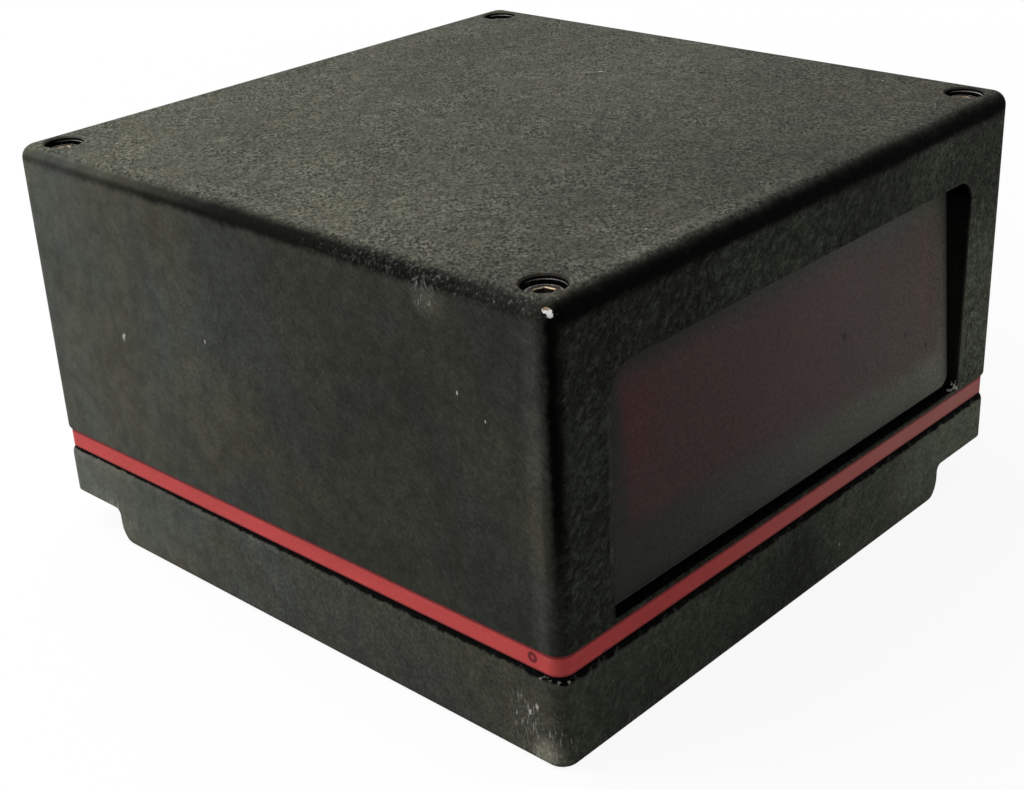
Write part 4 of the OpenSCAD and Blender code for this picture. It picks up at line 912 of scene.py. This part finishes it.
class StudioLook(PropertyGroup):
    """Camera and lamps."""

    azimuth: FloatProperty(
        name="Azimuth", description="How far round from the window side the camera stands",
        default=math.radians(-46.315), **ANGLE)
    elevation: FloatProperty(
        name="Elevation", description="How steeply the camera looks down",
        default=math.radians(25.454), **ANGLE)
    roll: FloatProperty(
        name="Roll", description="How far the camera is turned about its own line of sight",
        default=math.radians(-2.785), **ANGLE)
    distance: FloatProperty(
        name="Distance", description="From the camera to the middle of the reader",
        default=0.28099, min=0.1, max=2.0, **LENGTH)
    aim_height: FloatProperty(
        name="Aim height", description="Height of the point that the camera is set out from",
        default=0.03367, min=0.0, max=0.2, **LENGTH)
    aim_right: FloatProperty(
        name="Aim right", description="How far the camera is moved to its right",
        default=-0.00281, min=-0.1, max=0.1, **LENGTH)
    aim_up: FloatProperty(
        name="Aim up", description="How far the camera is moved up in its picture",
        default=-0.01352, min=-0.1, max=0.1, **LENGTH)
    lens: FloatProperty(
        name="Lens", description="Focal length of the camera in millimetres",
        default=59.30, min=20.0, max=200.0)
    top_power: FloatProperty(
        name="Top lamp", description="Power of the lamp overhead", subtype="POWER", default=4.0, min=0.0)
    left_power: FloatProperty(
        name="Left lamp", description="Power of the lamp at the rear left", subtype="POWER",
        default=2.6, min=0.0)
    fill_power: FloatProperty(
        name="Fill lamp", description="Power of the weak lamp at the right", subtype="POWER",
        default=0.8, min=0.0)
    ambient: FloatProperty(
        name="Ambient", description="Strength of the light from all round", default=0.22, min=0.0, max=1.0)


# Operators

class READER_OT_stage(Operator):
    """Sets up the camera, the lamps, the white surroundings and the pale floor."""

    bl_idname = "reader.stage"
    bl_label = "Studio"

    def execute(self, context):
        look = context.scene.studio_look
        scene = context.scene
        scene.view_settings.view_transform = "Standard"
        self.camera(scene, look)
        self.lamp(scene, "top_lamp", look.top_power)
        self.lamp(scene, "left_lamp", look.left_power)
        self.lamp(scene, "fill_lamp", look.fill_power)
        self.world(scene, look)
        self.floor(scene)
        return {"FINISHED"}

    def camera(self, scene, look):
        """Sets the camera out from the middle of the reader."""
        level = math.cos(look.elevation)
        back = Vector((math.sin(look.azimuth) * level, -math.cos(look.azimuth) * level,
                       math.sin(look.elevation)))
        right = Vector((math.cos(look.azimuth), math.sin(look.azimuth), 0.0))
        up = back.cross(right)
        turn = Matrix((right, up, back)).transposed() @ Matrix.Rotation(look.roll, 3, "Z")
        place = Vector((0.0, 0.0, look.aim_height)) + back * look.distance
        place += right * look.aim_right + up * look.aim_up
        data = bpy.data.cameras.new("camera")
        data.lens = look.lens
        data.sensor_width = 36.0
        data.clip_start = 0.01
        data.clip_end = 50.0
        camera = bpy.data.objects.new("camera", data)
        camera.matrix_world = Matrix.Translation(place) @ turn.to_4x4()
        scene.collection.objects.link(camera)
        scene.camera = camera

    def lamp(self, scene, name, power):
        """Adds a square lamp that faces the reader."""
        width, place = LAMPS[name]
        data = bpy.data.lights.new(name, "AREA")
        data.energy = power
        data.shape = "SQUARE"
        data.size = width
        lamp = bpy.data.objects.new(name, data)
        lamp.location = place
        aim = LAMP_AIM - Vector(place)
        lamp.rotation_mode = "QUATERNION"
        lamp.rotation_quaternion = aim.to_track_quat("-Z", "Y")
        scene.collection.objects.link(lamp)

    def seen(self, f, in_gloss=1.0):
        """1 for what the camera and glass show, in_gloss in reflections, 0 for light that bounces."""
        rays = f.node("ShaderNodeLightPath").socket.node.outputs
        camera = Wire(f, rays["Is Camera Ray"])
        glossy = Wire(f, rays["Is Glossy Ray"])
        through = Wire(f, rays["Is Transmission Ray"])
        return camera.above(glossy * in_gloss).above(through)

    def world(self, scene, look):
        """Soft light from all round, which is white where it is seen."""
        scene.world = bpy.data.worlds.new("surroundings")
        f = Finish(scene.world)
        ambient = f.node("ShaderNodeBackground", None, {"Color": WHITE, "Strength": look.ambient})
        white = f.node("ShaderNodeBackground", None, {"Color": WHITE, "Strength": 1.0})
        f.end(f.node("ShaderNodeMixShader", None, {0: self.seen(f), 1: ambient, 2: white}),
              "ShaderNodeOutputWorld")

    def floor(self, scene):
        """Pale floor that keeps the reader's shadow and fades to white further off."""
        f = finish("pale_floor")
        seen = self.seen(f, in_gloss=0.25)
        matt = f.node("ShaderNodeBsdfDiffuse", None, {"Color": f.mix(seen, FLOOR_BOUNCE, FLOOR_TONE)})
        white = f.node("ShaderNodeEmission", None, {"Color": WHITE, "Strength": 1.0})
        away = f.distance((0.0, 0.0, 0.0)).rise(90.0, 420.0)
        f.end(f.node("ShaderNodeMixShader", None, {0: seen * (0.92 + 0.08 * away), 1: matt, 2: white}))
        bm = bmesh.new()
        bmesh.ops.create_grid(bm, x_segments=2, y_segments=2, size=FLOOR_REACH)
        mesh = bpy.data.meshes.new("floor")
        bm.to_mesh(mesh)
        bm.free()
        mesh.materials.append(f.owner)
        floor = bpy.data.objects.new("floor", mesh)
        scene.collection.objects.link(floor)


class READER_OT_castings(Operator):
    """Paints the base and the cover."""

    bl_idname = "reader.castings"
    bl_label = "Castings"

    def execute(self, context):
        look = context.scene.housing_look
        cover = CastingPaint("cover_paint", look, look.cover_dust_and_light, COVER_MARKS, edge_reflection_and_wear=1.0, grip=1.0)
        cover.add_window_recess()
        cover.add_screw_holes()
        dress(cover.finished(), "cover")
        base = CastingPaint("base_paint", look, look.base_dust_and_light, BASE_MARKS, edge_reflection_and_wear=0.0, grip=0.35)
        base.add_shoulder(GASKET_LOW.z - SHOULDER_DROP)
        dress(base.finished(), "base")
        return {"FINISHED"}


class READER_OT_gasket(Operator):
    """Finishes the red gasket and the rubber washer."""

    bl_idname = "reader.gasket"
    bl_label = "Gasket"

    def execute(self, context):
        dress(silicone("red_gasket", context.scene.housing_look), "housing_gasket")
        dress(moulded("washer_rubber", WASHER_RUBBER, roughness=0.7), "connector_washer")
        return {"FINISHED"}


class READER_OT_window(Operator):
    """Finishes the red pane and its seal."""

    bl_idname = "reader.window"
    bl_label = "Window"

    def execute(self, context):
        dress(filter_pane("red_pane", context.scene.housing_look), "window")
        dress(moulded("seal_rubber", SEAL_RUBBER, roughness=0.75), "window_seal")
        return {"FINISHED"}


class READER_OT_cover_screws(Operator):
    """Makes the four socket screws with knurled heads and bevelled sockets."""

    bl_idname = "reader.cover_screws"
    bl_label = "Cover screws"

    # Small sizes in millimetres; the crown is (below the top, in from the side) from its rim up
    knurl_depth = 0.09
    tip_chamfer = 0.45
    seat_fillet = 0.15
    head_bevel = 0.18
    knurl_end = 0.55
    crown = ((0.36, 0.03), (0.10, 0.20), (0.0, 0.46))
    socket_bevel = 0.12
    socket_point = 0.12

    # Shares of the head's height at which the socket's flats and its floor end
    flats_end, floor_end = 0.45, 0.40

    # How far the first socket is turned, and each next one from it, in radians
    first_turn, next_turn = 0.35, 0.55

    def execute(self, context):
        look = context.scene.fastener_look
        bm = bmesh.new()
        for index, (sx, sy) in enumerate(((-1, -1), (1, -1), (-1, 1), (1, 1))):
            start = self.first_turn + self.next_turn * index
            place = Matrix.Translation(Vector((sx * SCREW_X, sy * SCREW_Y, 0.0)))
            lathe(bm, self.profile(look, start), place)
        steel = blackened_steel("blackened_screws", context.scene.housing_look)
        piece = mesh_piece("cover_screw_set", bm, steel)
        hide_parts("cover_screws")
        return {"FINISHED"}

    def profile(self, look, start):
        """Rings of one screw from its tip to the floor of its socket, which is turned by start."""
        tip, top = SCREW_LOW.z, SCREW_HIGH.z
        head_h = look.head_height / MM
        shank_r = look.screw_width / MM / 2
        seat = top - head_h
        side = knurl(SCREW_HEAD_R, self.knurl_depth, look.head_teeth)
        across = look.socket_width / MM
        hexed = hexagon(across, start)
        eased = hexagon(across + 2 * self.socket_bevel, start)
        rings = [
            (tip, round_at(shank_r - self.tip_chamfer)), (tip + self.tip_chamfer, round_at(shank_r)),
            (seat - self.seat_fillet, round_at(shank_r)), (seat, round_at(shank_r + self.seat_fillet)),
            (seat, round_at(SCREW_HEAD_R - self.head_bevel)), (seat + self.head_bevel, side),
            (top - self.knurl_end, side),
        ]
        rings += [(top - below, round_at(SCREW_HEAD_R - inward)) for below, inward in self.crown]
        rings += [(top, eased), (top - self.socket_bevel, hexed), (seat + self.flats_end * head_h, hexed),
                  (seat + self.floor_end * head_h, round_at(self.socket_point))]
        return rings


class READER_OT_connector(Operator):
    """Makes the threaded connector shell and finishes its insert, nut and contacts."""

    bl_idname = "reader.connector"
    bl_label = "Connector"

    # Small sizes in millimetres
    insert_room = 0.02
    lip = 0.35
    chamfer = 0.4
    thread_start = 0.6
    run_out = 0.5
    ease = 0.30
    ease_in = 0.06
    tooth_start = 0.45
    tooth_depth = 0.22
    wall_gap = 0.2
    rear_lip = 0.3

    def execute(self, context):
        plate = bare_metal("nickel_plate", NICKEL, roughness=0.30, along=(1.0, 4.0, 1.0), stain=0.35)
        middle = (SHELL_LOW + SHELL_HIGH) / 2
        place = Matrix.Translation(Vector((middle.x, 0.0, middle.z)))
        place = place @ Matrix.Rotation(math.radians(-90.0), 4, "X")
        bm = bmesh.new()
        lathe(bm, self.profile(context.scene.fastener_look), place, closed=True)
        piece = mesh_piece("connector_thread_shell", bm, plate)
        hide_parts("connector_shell")
        dress(bare_metal("nut_plate", NUT_NICKEL, roughness=0.34, along=(4.0, 1.0, 4.0), stain=0.3),
              "connector_nut")
        dress(moulded("insert_plastic", INSERT_PLASTIC, grain=0.25), "connector_insert")
        dress(bare_metal("gold_contacts", GOLD, roughness=0.25, along=(1.0, 1.0, 1.0), stain=0.2),
              "connector_cups")
        return {"FINISHED"}

    def profile(self, look):
        """Rings of the shell: up its bore, then down its thread, its flange and its inner thread."""
        rear, end = SHELL_LOW.y, SHELL_HIGH.y
        bore_r = (INSERT_HIGH.x - INSERT_LOW.x) / 2 + self.insert_room
        thread_r = look.thread_width / MM / 2
        pitch = look.thread_pitch / MM
        depth = look.thread_depth / MM
        root_r = thread_r - depth
        bore, root, screw = round_at(bore_r), round_at(root_r), thread(thread_r, depth, pitch)
        inside = COVER_HIGH.y - REAR_WALL
        low = COVER_HIGH.y + WASHER_THICK
        high = low + FLANGE_THICK
        rings = [(rear, bore), (end - self.lip, bore), (end, round_at(bore_r + self.lip)),
                 (end, round_at(root_r - self.lip)), (end - self.chamfer, root)]
        rings += thread_rings(end - self.thread_start, high + self.run_out, pitch, screw)
        rings += [(high + self.run_out, root), (high, root)]
        rings += self.flange(low, high, look.flange_teeth)
        rings += [(low, root), (inside, root)]
        rings += thread_rings(inside - self.wall_gap, rear + self.run_out, pitch, screw)
        rings += [(rear + self.chamfer, root), (rear, round_at(root_r - self.rear_lip))]
        return rings

    def flange(self, low, high, teeth):
        """Rings of the serrated flange, with eased corners."""
        flange_r = (SHELL_HIGH.x - SHELL_LOW.x) / 2
        edge = round_at(flange_r - self.lip)
        eased = round_at(flange_r - self.ease_in)
        serrated = knurl(flange_r, self.tooth_depth, teeth)
        return [(high, edge), (high - self.ease, eased), (high - self.tooth_start, serrated),
                (low + self.tooth_start, serrated), (low + self.ease, eased), (low, edge)]


class READER_OT_wiring(Operator):
    """Finishes the harness, the leads and their headers."""

    bl_idname = "reader.wiring"
    bl_label = "Wiring"

    def execute(self, context):
        dress(moulded("wire_sleeve", WIRE_SLEEVE, roughness=0.45), "wire_harness", "harness_boot")
        dress(moulded("lead_sleeve", LEAD_SLEEVE, roughness=0.42, grain=0.25),
              "laser_leads", "motor_leads", "detector_leads")
        dress(moulded("header_nylon", HEADER_NYLON, grain=0.35),
              "wire_header", "lead_headers", "motor_header")
        return {"FINISHED"}


class READER_OT_main_board(Operator):
    """Finishes the main board and its parts."""

    bl_idname = "reader.main_board"
    bl_label = "Main board"

    def execute(self, context):
        dress(solder_mask("board_mask", pitch=1.27), "main_board")
        dress(moulded("chip_body", CHIP_RESIN, roughness=0.62, grain=0.22),
              "processor", "memory_chips", "motor_driver")
        dress(moulded("ferrite_bobbin", BOBBIN_FERRITE, roughness=0.7), "inductor")
        dress(moulded("can_sleeve", CAN_SLEEVE, roughness=0.32, grain=0.5), "capacitors")
        dress(bare_metal("tinned_can", TIN, roughness=0.3, along=(1.0, 5.0, 1.0), stain=0.2),
              "crystal", "photodiode")
        return {"FINISHED"}


class READER_OT_chassis(Operator):
    """Finishes the chassis, the stand-offs, the brackets and their screws."""

    bl_idname = "reader.chassis"
    bl_label = "Chassis"

    def execute(self, context):
        dress(bare_metal("rolled_aluminium", ALUMINIUM, roughness=0.36, along=(0.12, 1.6, 1.0), stain=0.25),
              "chassis")
        dress(bare_metal("turned_brass", BRASS, roughness=0.30, along=(0.5, 0.5, 4.0), stain=0.35),
              "standoffs", "bearing_sleeve")
        dress(bare_metal("zinc_plate", ZINC, roughness=0.34, along=(1.0, 1.0, 3.0), stain=0.3),
              "chassis_screws", "motor_screws", "bracket_screws", "clamp_screw")
        dress(moulded("bracket_paint", BRACKET_PAINT, roughness=0.55, grain=0.35),
              "mirror_bracket", "detector_bracket", "wheel_clip")
        return {"FINISHED"}


class READER_OT_motor(Operator):
    """Finishes the motor and its rotor."""

    bl_idname = "reader.motor"
    bl_label = "Motor"

    def execute(self, context):
        dress(bare_metal("plate_steel", PLATE_STEEL, roughness=0.38, along=(1.6, 0.12, 1.0), stain=0.35),
              "motor_plate")
        dress(wound_copper("coil_copper"), "motor_coils")
        dress(bare_metal("rotor_steel", ROTOR_STEEL, roughness=0.28, along=(1.0, 1.0, 4.0), stain=0.25),
              "rotor_hub")
        dress(moulded("magnet_ferrite", MAGNET_FERRITE, roughness=0.66), "ring_magnet")
        return {"FINISHED"}


class READER_OT_optics(Operator):
    """Finishes the mirrors, the laser and the detector."""

    bl_idname = "reader.optics"
    bl_label = "Optics"

    def execute(self, context):
        dress(coated_mirror("facet_mirror"), "mirror_wheel", "fold_mirror", "collecting_mirror")
        dress(moulded("post_plastic", POST_PLASTIC), "fold_post")
        dress(bare_metal("milled_aluminium", ALUMINIUM, roughness=0.32, along=(1.0, 0.2, 2.0), stain=0.2),
              "laser_block")
        dress(bare_metal("barrel_brass", BRASS, roughness=0.28, along=(0.5, 4.0, 0.5), stain=0.3),
              "laser_barrel")
        dress(bare_metal("diode_gold", GOLD, roughness=0.25, along=(1.0, 1.0, 1.0), stain=0.2),
              "laser_diode")
        dress(lens_glass("laser_lens_glass"), "laser_lens")
        dress(solder_mask("detector_mask", pitch=0.9), "detector_board")
        return {"FINISHED"}


class READER_PT_parts(Panel):
    """Lists the steps that dress the reader, and their settings."""

    bl_idname = "READER_PT_parts"
    bl_label = "Barcode reader"
    bl_space_type = "VIEW_3D"
    bl_region_type = "UI"
    bl_category = "Reader"

    def draw(self, context):
        for step in STEPS:
            self.layout.operator(step.bl_idname)
        for look in ("housing_look", "fastener_look", "studio_look"):
            group = getattr(context.scene, look)
            column = self.layout.column(align=True)
            for key in group.__annotations__:
                column.prop(group, key)


STEPS = (READER_OT_stage, READER_OT_castings, READER_OT_gasket, READER_OT_window, READER_OT_cover_screws,
         READER_OT_connector, READER_OT_wiring, READER_OT_main_board, READER_OT_chassis, READER_OT_motor,
         READER_OT_optics)
CLASSES = (HousingLook, FastenerLook, StudioLook) + STEPS + (READER_PT_parts,)


def register():
    for cls in CLASSES:
        bpy.utils.register_class(cls)
    bpy.types.Scene.housing_look = PointerProperty(type=HousingLook)
    bpy.types.Scene.fastener_look = PointerProperty(type=FastenerLook)
    bpy.types.Scene.studio_look = PointerProperty(type=StudioLook)


def unregister():
    del bpy.types.Scene.studio_look
    del bpy.types.Scene.fastener_look
    del bpy.types.Scene.housing_look
    for cls in reversed(CLASSES):
        bpy.utils.unregister_class(cls)


def main():
    register()
    bpy.ops.reader.stage()
    bpy.ops.reader.castings()
    bpy.ops.reader.gasket()
    bpy.ops.reader.window()
    bpy.ops.reader.cover_screws()
    bpy.ops.reader.connector()
    bpy.ops.reader.wiring()
    bpy.ops.reader.main_board()
    bpy.ops.reader.chassis()
    bpy.ops.reader.motor()
    bpy.ops.reader.optics()
    bpy.context.view_layer.update()


if __name__ == "__main__":
    main()
